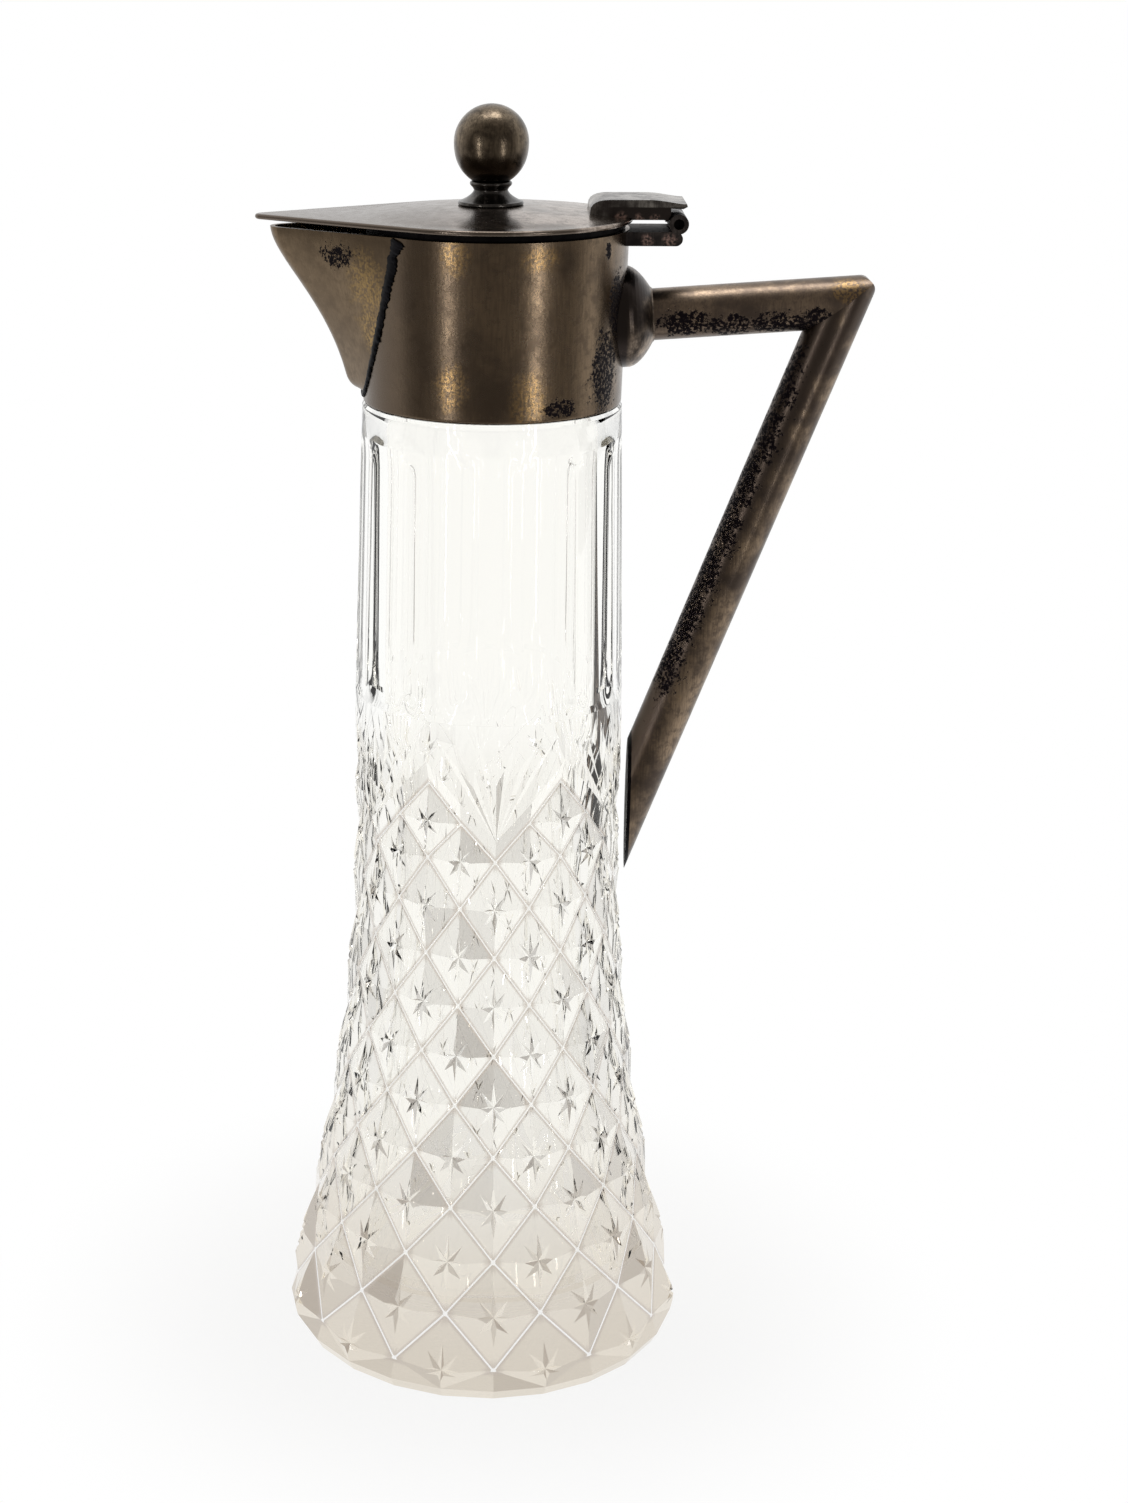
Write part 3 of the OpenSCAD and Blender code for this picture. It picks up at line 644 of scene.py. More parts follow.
def lid_shell():
    """Lid of one sheet: hollow dome, flat border with a rounded edge, tongue."""
    dome_r = LID_R - LID_BORDER
    rings = []
    for i in range(1, DOME_RINGS + 1):
        radius = BEZEL_BORE * i / DOME_RINGS
        rings.append(round_ring(radius, dome_z(radius) - LID_T))
    rings.append(round_ring(BEZEL_BORE, LID_UNDER))
    edge = LID_T / 2
    for i in range(EDGE_STEPS + 1):
        a = math.radians(180 * i / EDGE_STEPS - 90)
        rings.append(lid_ring(edge * (1 - math.cos(a)), LID_UNDER + edge * (1 + math.sin(a))))
    rings.append(lid_ring(1.6 * edge, LID_TOP + 0.02 * MM))
    for i in range(DOME_RINGS, 0, -1):
        radius = dome_r * i / DOME_RINGS
        rings.append(round_ring(radius, dome_z(radius)))
    lid = loft("lid_shell", rings)
    smooth(lid, degrees=50)
    return lid


# ----------------------------------------------------------------- finial

FINIAL_SIDES = 96
BALL_STEPS = 24
BALL_NECK_R = 0.0041
SPOOL_WAIST_R = 0.0039
SPOOL_RING_R = 0.0048


def turned_finial(name, outline):
    """A turned piece of the finial, in its place on the lid."""
    piece = turned(name, outline, FINIAL_SIDES)
    piece.location.x = FINIAL_X
    settle(piece)
    smooth(piece, degrees=40)
    return piece


def finial_ball():
    """A ball drawn down to its neck."""
    neck_z = BALL_LOW[2]
    outline = [(0.0, neck_z), (BALL_NECK_R, neck_z)]
    outline += curve(((BALL_NECK_R + 0.0004, neck_z + 0.0002), (0.78 * BALL_R, neck_z + 0.0017),
                      (BALL_R, BALL_Z - 0.52 * BALL_R), (BALL_R, BALL_Z)), 20)
    for i in range(1, BALL_STEPS):
        a = math.radians(i * 90 / BALL_STEPS)
        outline.append((BALL_R * math.cos(a), BALL_Z + BALL_R * math.sin(a)))
    outline.append((0.0, BALL_Z + BALL_R))
    return turned_finial("finial_ball_skin", outline)


def finial_spool():
    """Foot, waist and ring under the ball."""
    low, top = SPOOL_LOW[2], SPOOL_HIGH[2]
    foot = (SPOOL_HIGH[0] - SPOOL_LOW[0]) / 2
    waist, ring = SPOOL_WAIST_R, SPOOL_RING_R
    outline = [(0.0, low), (foot - 0.0003, low), (foot, low + 0.0003), (foot, low + 0.0006),
               (foot - 0.0002, low + 0.0009)]
    outline += curve(((foot - 0.0006, low + 0.0010), (waist + 0.0008, low + 0.0019),
                      (waist - 0.0001, low + 0.0030), (waist, top - 0.0019)), 16)
    outline += [(waist + 0.0003, top - 0.0014), (ring - 0.0002, top - 0.0010), (ring, top - 0.0007),
                (ring, top - 0.0004), (ring - 0.0002, top - 0.0001), (ring - 0.0004, top),
                (0.0, top)]
    return turned_finial("finial_spool_skin", outline)


# ------------------------------------------------------------------ spout

KEEL_CURVE = ((1, 0), (0.98, 0.19), (0.40, 0.44), (0.19, 0.90))
KEEL_FOOT = ((0.19, 0.90), (0.16, 0.965), (0.10, 0.99), (-0.03, 1.0))
KEEL_STEPS = 30
FOOT_STEPS = 8
SPOUT_SIDES = 12
FLANK_STEPS = 8
FOOT_LIP = 0.0003
SOLDER_GAP = 0.00008
FLARE_POWER = 0.38
FOOT_WIDTH = 0.02
NOSE_ROOM = 0.12


def spout_frame(reach, depth):
    """Height, collar radius, half width and foremost point of a level."""
    z = RIM_Z - depth * SPOUT_DROP
    r = collar_radius(z) + SOLDER_GAP
    nose = r + max(FOOT_LIP, reach * (SPOUT_REACH - collar_radius(RIM_Z)))
    half = r * math.sin(math.radians(SPOUT_ANGLE)) * (1 + FOOT_WIDTH - depth) ** FLARE_POWER
    side = max(-math.sqrt(r * r - half * half), NOSE_ROOM * half - nose)
    return z, r, nose, half, side


def keel_line():
    return curve(KEEL_CURVE, KEEL_STEPS) + curve(KEEL_FOOT, FOOT_STEPS)[1:]


def spout_level(share):
    """One level of the sheet: out round the keel and back inside."""
    z, r, nose, half, px = spout_frame(*share)
    cx = KEEL_R - nose
    turn = math.atan2(half, px - cx) + math.acos(KEEL_R / math.hypot(px - cx, half))
    across = Vector((math.cos(turn), math.sin(turn)))
    along = Vector((math.sin(turn), -math.cos(turn)))
    start = Vector((px, half)) - SPOUT_WALL * across
    back = start.dot(along)
    run = back + math.sqrt(max(0, back * back + r * r - start.dot(start)))

    def side(first, keel, seat):
        arc = [Vector((cx + keel * math.cos(a), keel * math.sin(a)))
               for a in (turn + i * (math.pi - turn) / SPOUT_SIDES for i in range(SPOUT_SIDES + 1))]
        flank = [first.lerp(arc[0], i / FLANK_STEPS) for i in range(FLANK_STEPS)]
        return [p * seat / p.length if p.length < seat else p for p in flank + arc]

    outer = side(Vector((px, half)), KEEL_R, r + 0.01 * MM)
    inner = side(start - run * along, KEEL_R - SPOUT_WALL, r)
    loop = outer + [Vector((p.x, -p.y)) for p in reversed(outer[:-1])]
    inside = inner + [Vector((p.x, -p.y)) for p in reversed(inner[:-1])]
    return [Vector((p.x, p.y, z)) for p in loop + inside[::-1]]


def spout_sheet():
    """The beaked spout, bent from one sheet."""
    spout = loft("spout_sheet", [spout_level(share) for share in keel_line()])
    smooth(spout, degrees=35)
    return spout


SEAM_SIDES = 8
SEAM_BETWEEN = 4
SEAM_FOOT_STEPS = 8
SEAM_W_LOW = 0.0007
SEAM_W_HIGH = 0.0017
SEAM_SHIFT = 0.6
SEAM_H = 0.0004
SEAM_LIFT = 0.0001
RAGGED, RAGGED_SCALE = 0.4, 900
WANDER, WANDER_SCALE, WANDER_PLACE = 0.0003, 400, Vector((5, 0, 0))
LUMPY, LUMPY_SCALE = 0.5, 2500


def solder_seam():
    """A rough bead of dark solder along the spout's edge on the collar."""
    path = []
    for share in keel_line():
        z, _, _, half, px = spout_frame(*share)
        turn = math.degrees(math.atan2(half, px))
        path.append((turn, z))
    low_turn, low_z = path.pop()
    across = 360 - 2 * low_turn
    foot = [(low_turn + across * i / SEAM_FOOT_STEPS, low_z) for i in range(SEAM_FOOT_STEPS + 1)]
    path = path + foot + [(360 - turn, z) for turn, z in reversed(path)]
    rings, fine = [], []
    for (turn, z), (next_turn, next_z) in zip(path, path[1:]):
        for i in range(SEAM_BETWEEN):
            t = i / SEAM_BETWEEN
            fine.append((turn + t * (next_turn - turn), z + t * (next_z - z)))
    for i, (turn, z) in enumerate(fine):
        before = fine[max(i - 1, 0)]
        after = fine[min(i + 1, len(fine) - 1)]
        r = collar_radius(z)
        run = (polar(r, after[0], after[1]) - polar(r, before[0], before[1])).normalized()
        out = polar(1, turn, 0)
        middle = polar(r + SEAM_LIFT, turn, z)
        side = run.cross(out).normalized()
        ragged = 1.0 + RAGGED * noise.noise(middle * RAGGED_SCALE)
        rise = min(1, max(0, (z - SPOUT_LOW[2]) / SPOUT_DROP))
        broad = SEAM_W_LOW + rise * (SEAM_W_HIGH - SEAM_W_LOW)
        lean = broad * SEAM_SHIFT + WANDER * noise.noise(middle * WANDER_SCALE + WANDER_PLACE)
        ring = []
        for k in range(SEAM_SIDES):
            a = math.tau * k / SEAM_SIDES
            lumps = noise.noise(middle * LUMPY_SCALE + Vector((k, 0, 0)))
            width = broad * ragged * (1 + LUMPY * lumps)
            ring.append(middle + side * (math.cos(a) * width + lean) + out * math.sin(a) * SEAM_H)
        rings.append(ring)
    seam = loft("solder_seam", rings)
    smooth(seam, degrees=60)
    return seam


# -------------------------------------------------------- material groups

def new_group(name, inputs, outputs):
    """A shader group and its sockets inside. Inputs and outputs are names with kinds."""
    group = bpy.data.node_groups.new(name, "ShaderNodeTree")
    for way, sockets in (("INPUT", inputs), ("OUTPUT", outputs)):
        for title, kind in sockets.items():
            group.interface.new_socket(title, in_out=way, socket_type="NodeSocket" + kind)
    given = group.nodes.new("NodeGroupInput").outputs
    return group, given, group.nodes.new("NodeGroupOutput").inputs


def link(output, socket):
    output.id_data.links.new(output, socket)


def node(tree, kind, **settings):
    made = tree.nodes.new("ShaderNode" + kind)
    for key, value in settings.items():
        setattr(made, key, value)
    return made


def set_inputs(made, values):
    """Gives a node's named inputs their values."""
    for title, value in values.items():
        made.inputs[title].default_value = value


def object_place(tree):
    return node(tree, "TexCoord").outputs["Object"]


def parts_of(tree, vector):
    """X, Y and Z of a vector, by name."""
    made = node(tree, "SeparateXYZ")
    link(vector, made.inputs[0])
    return made.outputs


def maths(tree, operation, a, b, clamp=False):
    """A math node whose inputs are sockets or numbers; gives its output."""
    made = node(tree, "Math", operation=operation, use_clamp=clamp)
    for slot, value in enumerate((a, b)):
        if isinstance(value, (int, float)):
            made.inputs[slot].default_value = value
        else:
            link(value, made.inputs[slot])
    return made.outputs[0]


def times(tree, a, b):
    return maths(tree, "MULTIPLY", a, b)


def band(tree, value, low, high):
    """0 under low, 1 over high, and smooth between them; low may be above high."""
    made = node(tree, "MapRange", interpolation_type="SMOOTHSTEP")
    link(value, made.inputs["Value"])
    set_inputs(made, {"From Min": low, "From Max": high})
    return made.outputs["Result"]


def grain(tree, place, scale, detail, stretch=(1, 1, 1), shift=(0, 0, 0), rough=0.5):
    """Noise at a scale per metre, with a stretch and shift of its own."""
    mapping = node(tree, "Mapping")
    set_inputs(mapping, {"Scale": stretch, "Location": shift})
    link(place, mapping.inputs["Vector"])
    made = node(tree, "TexNoise")
    set_inputs(made, {"Scale": scale, "Detail": detail, "Roughness": rough})
    link(mapping.outputs["Vector"], made.inputs["Vector"])
    return made.outputs["Fac"]


def blend(tree, share, a, b):
    """Colour a where share is 0 and b where it is 1."""
    made = node(tree, "Mix", data_type="RGBA")
    for slot, value in (("Factor", share), ("A", a), ("B", b)):
        socket = [s for s in made.inputs if s.name == slot and s.enabled][0]
        if isinstance(value, tuple):
            socket.default_value = (*value, 1)
        else:
            link(value, socket)
    return [s for s in made.outputs if s.enabled][0]


PATCH_GRAIN = 420
PATCH_RAGGED = 1.1
PATCH_OUTSIDE, PATCH_INSIDE = 1.75, 1.0


def spot_group():
    """Mask of a patch with a ragged edge, round a place on the jug; it serves worn spots, and also
    painted shade and painted highlight.
    """
    group, given, out = new_group(
        "ragged_patch", {"Middle": "Vector", "Radius": "Float", "Height": "Float"},
        {"Mask": "Float"})
    place = object_place(group)
    away = node(group, "VectorMath", operation="SUBTRACT")
    link(place, away.inputs[0])
    link(given["Middle"], away.inputs[1])
    parts = parts_of(group, away.outputs["Vector"])
    tall = maths(group, "DIVIDE", parts["Z"], given["Height"])
    whole = node(group, "CombineXYZ")
    for axis, value in (("X", parts["X"]), ("Y", parts["Y"]), ("Z", tall)):
        link(value, whole.inputs[axis])
    length = node(group, "VectorMath", operation="LENGTH")
    link(whole.outputs["Vector"], length.inputs[0])
    share = maths(group, "DIVIDE", length.outputs["Value"], given["Radius"])
    ragged = grain(group, place, PATCH_GRAIN, 4, shift=(3, 1, 2), rough=0.65)
    share = maths(group, "ADD", share, times(group, ragged, PATCH_RAGGED))
    link(band(group, share, PATCH_OUTSIDE, PATCH_INSIDE), out["Mask"])
    return group


CLOUD_GRAIN, CLOUDED, WORN = 70, (0.40, 0.66), (0.34, 0.22)
FINE_GRAIN, FINE_CLOUDED, FINE_SHARE = 420, (0.46, 0.66), 0.65
BRUSH_GRAIN, BRUSHED, BRUSH_SHARE = 2600, (0.35, 0.75), 0.55
SPECKLE_GRAIN, SPECKLED = 1500, (0.36, 0.62)
WORN_SHARE = 0.4
PIT_GRAIN, PIT_LEVEL, PIT_EDGE = 1300, 0.78, 0.035
PITTED_LOWERS = 0.35
PIT_TINT = (0.012, 0.009, 0.011)
PIT_ROUGH, CLOUD_ROUGH = 0.35, 0.25
BRUSH_RELIEF, SPECKLE_RELIEF, PIT_RELIEF = 0.25, 0.6, 1.6
RELIEF_STRENGTH, RELIEF_HEIGHT = 0.40, 0.00006


def tarnish_group():
    """Old plate: upright brushing, brown clouds, brassy wear and black pits. Its brassy share also
    carries painted highlight, and its darker share painted shade, where the callers place them.
    """
    group, given, out = new_group(
        "tarnish", {"Plate": "Color", "CloudAndShade": "Color", "Brass": "Color", "BrassAndHighlight": "Float",
                    "Pitted": "Float", "Darker": "Float", "Smooth": "Float"},
        {"Color": "Color", "Roughness": "Float", "Normal": "Vector"})
    place = object_place(group)
    clouds = grain(group, place, CLOUD_GRAIN, 5, rough=0.6)
    fine_clouds = grain(group, place, FINE_GRAIN, 4, shift=(1, 4, 2), rough=0.7)
    brushing = grain(group, place, BRUSH_GRAIN, 2, stretch=(1, 1, 0.06))
    speckle = grain(group, place, SPECKLE_GRAIN, 2, shift=(2, 2, 5))
    colour = blend(group, band(group, clouds, *CLOUDED), given["Plate"], given["CloudAndShade"])
    half_dark = times(group, band(group, fine_clouds, *FINE_CLOUDED), FINE_SHARE)
    colour = blend(group, half_dark, colour, given["CloudAndShade"])
    # The darker share takes the cloud colour: dark tarnish patches, and painted shade from the
    # callers' bands and patches
    colour = blend(group, given["Darker"], colour, given["CloudAndShade"])
    worn = times(group, band(group, clouds, *WORN), WORN_SHARE)
    # The brassy share is brassy wear, and on the collar's front also painted highlight
    brass_and_highlight = maths(group, "ADD", given["BrassAndHighlight"], worn, clamp=True)
    brass_and_highlight = times(group, brass_and_highlight, band(group, speckle, *SPECKLED))
    colour = blend(group, brass_and_highlight, colour, given["Brass"])
    streak = times(group, band(group, brushing, *BRUSHED), BRUSH_SHARE)
    colour = blend(group, streak, colour, given["CloudAndShade"])
    spots = grain(group, place, PIT_GRAIN, 4, shift=(7, 3, 1), rough=0.72)
    lowered = times(group, given["Pitted"], PITTED_LOWERS)
    level = maths(group, "SUBTRACT", PIT_LEVEL, lowered)
    pits = band(group, maths(group, "SUBTRACT", spots, level), 0.0, PIT_EDGE)
    colour = blend(group, pits, colour, PIT_TINT)
    link(colour, out["Color"])
    rough = times(group, maths(group, "SUBTRACT", fine_clouds, 0.5), CLOUD_ROUGH)
    rough = maths(group, "ADD", rough, given["Smooth"])
    rough = maths(group, "ADD", rough, times(group, pits, PIT_ROUGH), clamp=True)
    link(rough, out["Roughness"])
    height = times(group, brushing, BRUSH_RELIEF)
    height = maths(group, "ADD", height, times(group, speckle, SPECKLE_RELIEF))
    height = maths(group, "SUBTRACT", height, times(group, pits, PIT_RELIEF))
    bump = node(group, "Bump")
    set_inputs(bump, {"Strength": RELIEF_STRENGTH, "Distance": RELIEF_HEIGHT})
    link(height, bump.inputs["Height"])
    link(bump.outputs["Normal"], out["Normal"])
    return group


def material(name):
    mat = bpy.data.materials.new(name)
    mat.use_nodes = True
    tree = mat.node_tree
    return mat, tree, tree.nodes["Principled BSDF"]


def mix_shaders(tree, share, a, b, output="Material Output"):
    """The surface is shader a where share is 0 and b where it is 1."""
    mix = node(tree, "MixShader")
    link(share, mix.inputs["Fac"])
    link(a.outputs[0], mix.inputs[1])
    link(b.outputs[0], mix.inputs[2])
    link(mix.outputs["Shader"], tree.nodes[output].inputs["Surface"])


def patches(tree, group, spots):
    """The strongest of the patches, whether wear, painted shade or painted highlight; a spot is
    place, radius, height.
    """
    total = None
    for middle, radius, height in spots:
        made = node(tree, "Group", node_tree=group)
        set_inputs(made, {"Middle": middle, "Radius": radius, "Height": height})
        mask = made.outputs["Mask"]
        total = mask if total is None else maths(tree, "MAXIMUM", total, mask)
    return total


def old_plate(name, groups, plate, cloud_and_shade, brass=(0.34, 0.22, 0.10), shine=0.32,
              brass_and_highlight=(), pitted=(), darker=(), shade_bands=()):
    """A tarnished metal with its own colours and its own patches of wear, painted shade and painted
    highlight.
    Each band of painted shade is a direction and how far along it the dark starts and is
    full, and the dark is where all of them meet."""
    tarnish, spot = groups
    mat, tree, shader = material(name)
    made = node(tree, "Group", node_tree=tarnish)
    set_inputs(made, {"Plate": (*plate, 1), "CloudAndShade": (*cloud_and_shade, 1), "Brass": (*brass, 1),
                      "Smooth": shine})
    for title, spots in (("BrassAndHighlight", brass_and_highlight), ("Pitted", pitted), ("Darker", darker)):
        if spots:
            link(patches(tree, spot, spots), made.inputs[title])
    shade = None
    # Painted shade: the metal darkens along each band's direction
    for direction, start, full in shade_bands:
        along = node(tree, "VectorMath", operation="DOT_PRODUCT")
        link(object_place(tree), along.inputs[0])
        along.inputs[1].default_value = direction
        one = band(tree, along.outputs["Value"], start, full)
        shade = times(tree, shade, one) if shade else one
    if shade and darker:
        shade = maths(tree, "MAXIMUM", shade, made.inputs["Darker"].links[0].from_socket)
    if shade:
        link(shade, made.inputs["Darker"])
    shader.inputs["Metallic"].default_value = 1.0
    for given, taken in (("Color", "Base Color"), ("Roughness", "Roughness"), ("Normal", "Normal")):
        link(made.outputs[given], shader.inputs[taken])
    return mat


# Brassy spots: the four on the front sit on the two lamp highlight lines and are painted highlight;
# the two at the back are brassy wear
COLLAR_BRASS_AND_HIGHLIGHT = (((-0.0084, -0.0293, 0.2754), 0.0035, 1.6), ((0.0101, -0.0288, 0.2745), 0.005, 0.6),
                 ((-0.0092, -0.0291, 0.246), 0.004, 1.5), ((0.0084, -0.0293, 0.243), 0.0045, 1.6),
                 ((0.012, 0.028, 0.268), 0.006, 1.5), ((-0.010, 0.0285, 0.250), 0.005, 1.4))
COLLAR_PITTED = (((0.0256, -0.0166, 0.248), 0.0075, 1.7), ((0.0156, -0.0262, 0.2412), 0.0055, 0.6),
                 ((0.0253, -0.0170, 0.2745), 0.0018, 1.4), ((0.0278, -0.0122, 0.262), 0.006, 1.9),
                 ((0.020, 0.0225, 0.246), 0.007, 1.2), ((-0.006, 0.0295, 0.272), 0.005, 0.8))
COLLAR_DARKER = (((-0.0202, -0.0229, 0.2657), 0.006, 1.8), ((0.0, -0.0303, 0.244), 0.006, 1.0))
SPOUT_BRASSY = (((-0.0300, -0.0180, 0.2660), 0.0065, 1.4), ((-0.0290, -0.016, 0.256), 0.005, 1.4),
                ((-0.0300, 0.0180, 0.2640), 0.0065, 1.4))
SPOUT_PITTED = (((-0.0370, -0.0150, 0.2725), 0.0080, 0.6), ((-0.0370, 0.0155, 0.272), 0.0055, 0.7))
ARM_PITTED = (((0.044, -0.0058, 0.2570), 0.009, 0.5), ((0.054, -0.0058, 0.2565), 0.009, 0.45),
              ((0.064, -0.0058, 0.2570), 0.009, 0.45), ((0.073, -0.0050, 0.2570), 0.008, 0.6),
              ((0.055, 0.0058, 0.257), 0.008, 0.4), ((0.072, 0.0058, 0.257), 0.007, 0.4))
ARM_BRASSY = (((0.0805, -0.0045, 0.2645), 0.0045, 0.7), ((0.079, 0.0045, 0.2645), 0.004, 0.7))
ARM_DARKER = (((0.0385, 0, 0.258), 0.0065, 1.0),)
GRIP_LEAN = 0.362
GRIP_PITTED = [((0.0598 + GRIP_LEAN * (z - 0.2315), -0.0048, z), 0.0072, 2.4)
               for z in (0.180 + 0.0115 * i for i in range(7))]
GRIP_PITTED += [((0.0545, 0.0050, 0.205), 0.0085, 2.6)]
HINGE_RUST = (((0.0285, -0.0065, 0.2805), 0.0017, 1.0), ((0.0325, -0.0065, 0.2800), 0.0013, 1.4),
              ((0.0360, -0.0065, 0.2808), 0.0012, 0.8), ((0.0310, 0.0065, 0.2804), 0.0018, 1.0))
LUG_RUST = (((0.0345, -0.0080, 0.2762), 0.0016, 0.9), ((0.0395, -0.0080, 0.2762), 0.0016, 1.0),
            ((0.0370, 0.0080, 0.2762), 0.0018, 1.0))
RUST = (0.40, 0.27, 0.23)
# Painted shade: patches that darken the lid along its front edge
LID_FRONT_SHADE = (((0.0, -0.0300, 0.2800), 0.0075, 1.0), ((0.0135, -0.0270, 0.2800), 0.0065, 1.0),
              ((-0.0135, -0.0270, 0.2800), 0.0070, 1.0), ((-0.0303, -0.0090, 0.2800), 0.0022, 1.0))
ACROSS = (1, 0, 0)
UPWARD = (0, 0, 1)
TO_JUG = (-0.931, 0, 0.364)


def metals():
    groups = (tarnish_group(), spot_group())
    brown = (0.205, 0.148, 0.096)
    deep = (0.105, 0.077, 0.054)
    return {
        # Collar: the band paints shade over its left side, towards the spout
        "collar": old_plate("collar_plate", groups, brown, deep, brass_and_highlight=COLLAR_BRASS_AND_HIGHLIGHT,
                            pitted=COLLAR_PITTED, darker=COLLAR_DARKER,
                            shade_bands=((ACROSS, 0.004, -0.030),), shine=0.26),
        "spout": old_plate("spout_plate", groups, (0.19, 0.138, 0.088), (0.125, 0.09, 0.058),
                           brass=(0.36, 0.24, 0.10), brass_and_highlight=SPOUT_BRASSY, pitted=SPOUT_PITTED),
        # Upper arm: the band paints shade on its underside
        "arm": old_plate("arm_plate", groups, (0.28, 0.208, 0.146), (0.105, 0.080, 0.064),
                         pitted=ARM_PITTED, brass_and_highlight=ARM_BRASSY, darker=ARM_DARKER,
                         shade_bands=((UPWARD, 0.2570, 0.2525),)),
        # Grip: the band paints shade on its inner side, towards the jug
        "grip": old_plate("grip_plate", groups, (0.30, 0.222, 0.150), (0.075, 0.057, 0.046),
                          pitted=GRIP_PITTED, shade_bands=((TO_JUG, 0.0196, 0.0220),)),
        # Boss: its pale plate is painted reflection of a lamp, and the band paints shade on its part
        # next to the collar
        "boss": old_plate("boss_painted_light_and_shade", groups, (0.56, 0.44, 0.33), (0.035, 0.028, 0.025),
                          shade_bands=((ACROSS, 0.0318, 0.0302),)),
        # Lid: the band paints shade on its left, tongue side
        "lid": old_plate("lid_plate_worn_and_shaded", groups, (0.42, 0.35, 0.30), (0.14, 0.112, 0.090),
                         brass=(0.26, 0.20, 0.14), shine=0.24, darker=LID_FRONT_SHADE,
                         shade_bands=((ACROSS, 0.014, -0.024),)),
        # Ball: the band paints shade on its lower half, where the dark lid reflects
        "ball": old_plate("ball_plate", groups, (0.22, 0.172, 0.120), (0.035, 0.026, 0.019),
                          shine=0.25, shade_bands=((UPWARD, 0.2975, 0.2885),)),
        "spool": old_plate("spool_plate", groups, (0.12, 0.11, 0.10), (0.02, 0.018, 0.018),
                           shine=0.24),
        # Hinge leaf: the two bands paint shade on its lower, outer part, in the gap over the lug;
        # the rust spots are real
        "hinge": old_plate("hinge_plate_rust_and_shade", groups, (0.46, 0.435, 0.40), (0.045, 0.037, 0.034),
                           brass=RUST, shine=0.30, brass_and_highlight=HINGE_RUST,
                           shade_bands=((UPWARD, LID_TOP + 0.0028, LID_TOP + 0.0024),
                                       (ACROSS, 0.0240, 0.0262))),
        # Lug: its near-black plate is painted shade for the gap under the hinge leaf; the rust spots
        # are real
        "lug": old_plate("lug_plate_shade_and_rust", groups, (0.085, 0.072, 0.066), (0.022, 0.019, 0.019),
                         brass=RUST, shine=0.6, brass_and_highlight=LUG_RUST),
        "black": old_plate("black_metal", groups, (0.010, 0.009, 0.009), (0.005, 0.004, 0.005),
                           brass=(0.02, 0.018, 0.016), shine=0.6),
        "solder": old_plate("old_solder", groups, (0.013, 0.012, 0.014), (0.006, 0.006, 0.007),
                            brass=(0.04, 0.036, 0.034), shine=0.55),
    }


GLASS_IOR = 1.46
LINE_ROUGH = 0.55
BACK_CLEAR = 0.72
TINTED_PATH = 2.5
DEEP_PATH = 6.5
CUT_TOP, CUT_START = 0.172, 0.150
FOOT_TINT_START, FOOT_TINT_FULL = 0.085, 0.004
FLANK_START, FLANK_FULL = 0.68, 0.90
LINE_START, LINE_FULL = 0.925, 0.955
FLANK_SHADE = 0.8
CLEAR_HIGH, CLEAR_LOW = (1.0, 0.99, 0.945), (0.70, 0.60, 0.46)
# Painted shade and random tone: the darker colours that facets blend towards
SHADE_AND_TONE_HIGH, SHADE_AND_TONE_LOW = (0.10, 0.070, 0.048), (0.13, 0.085, 0.055)
FLANK_SHADOW_TINT, LINE_TINT = (0.36, 0.29, 0.235), (1.0, 0.995, 0.98)
PLAIN_TINT, INSIDE_TINT = (0.99, 0.995, 0.98), (1.0, 1.0, 1.0)
LEAVING_TINT, INNER_TINT = (1.0, 0.995, 0.96), (1.0, 0.986, 0.938)
STRAIGHT_TINT = (0.985, 0.98, 0.965)


def attribute(tree, name):
    return node(tree, "Attribute", attribute_name=name).outputs["Fac"]


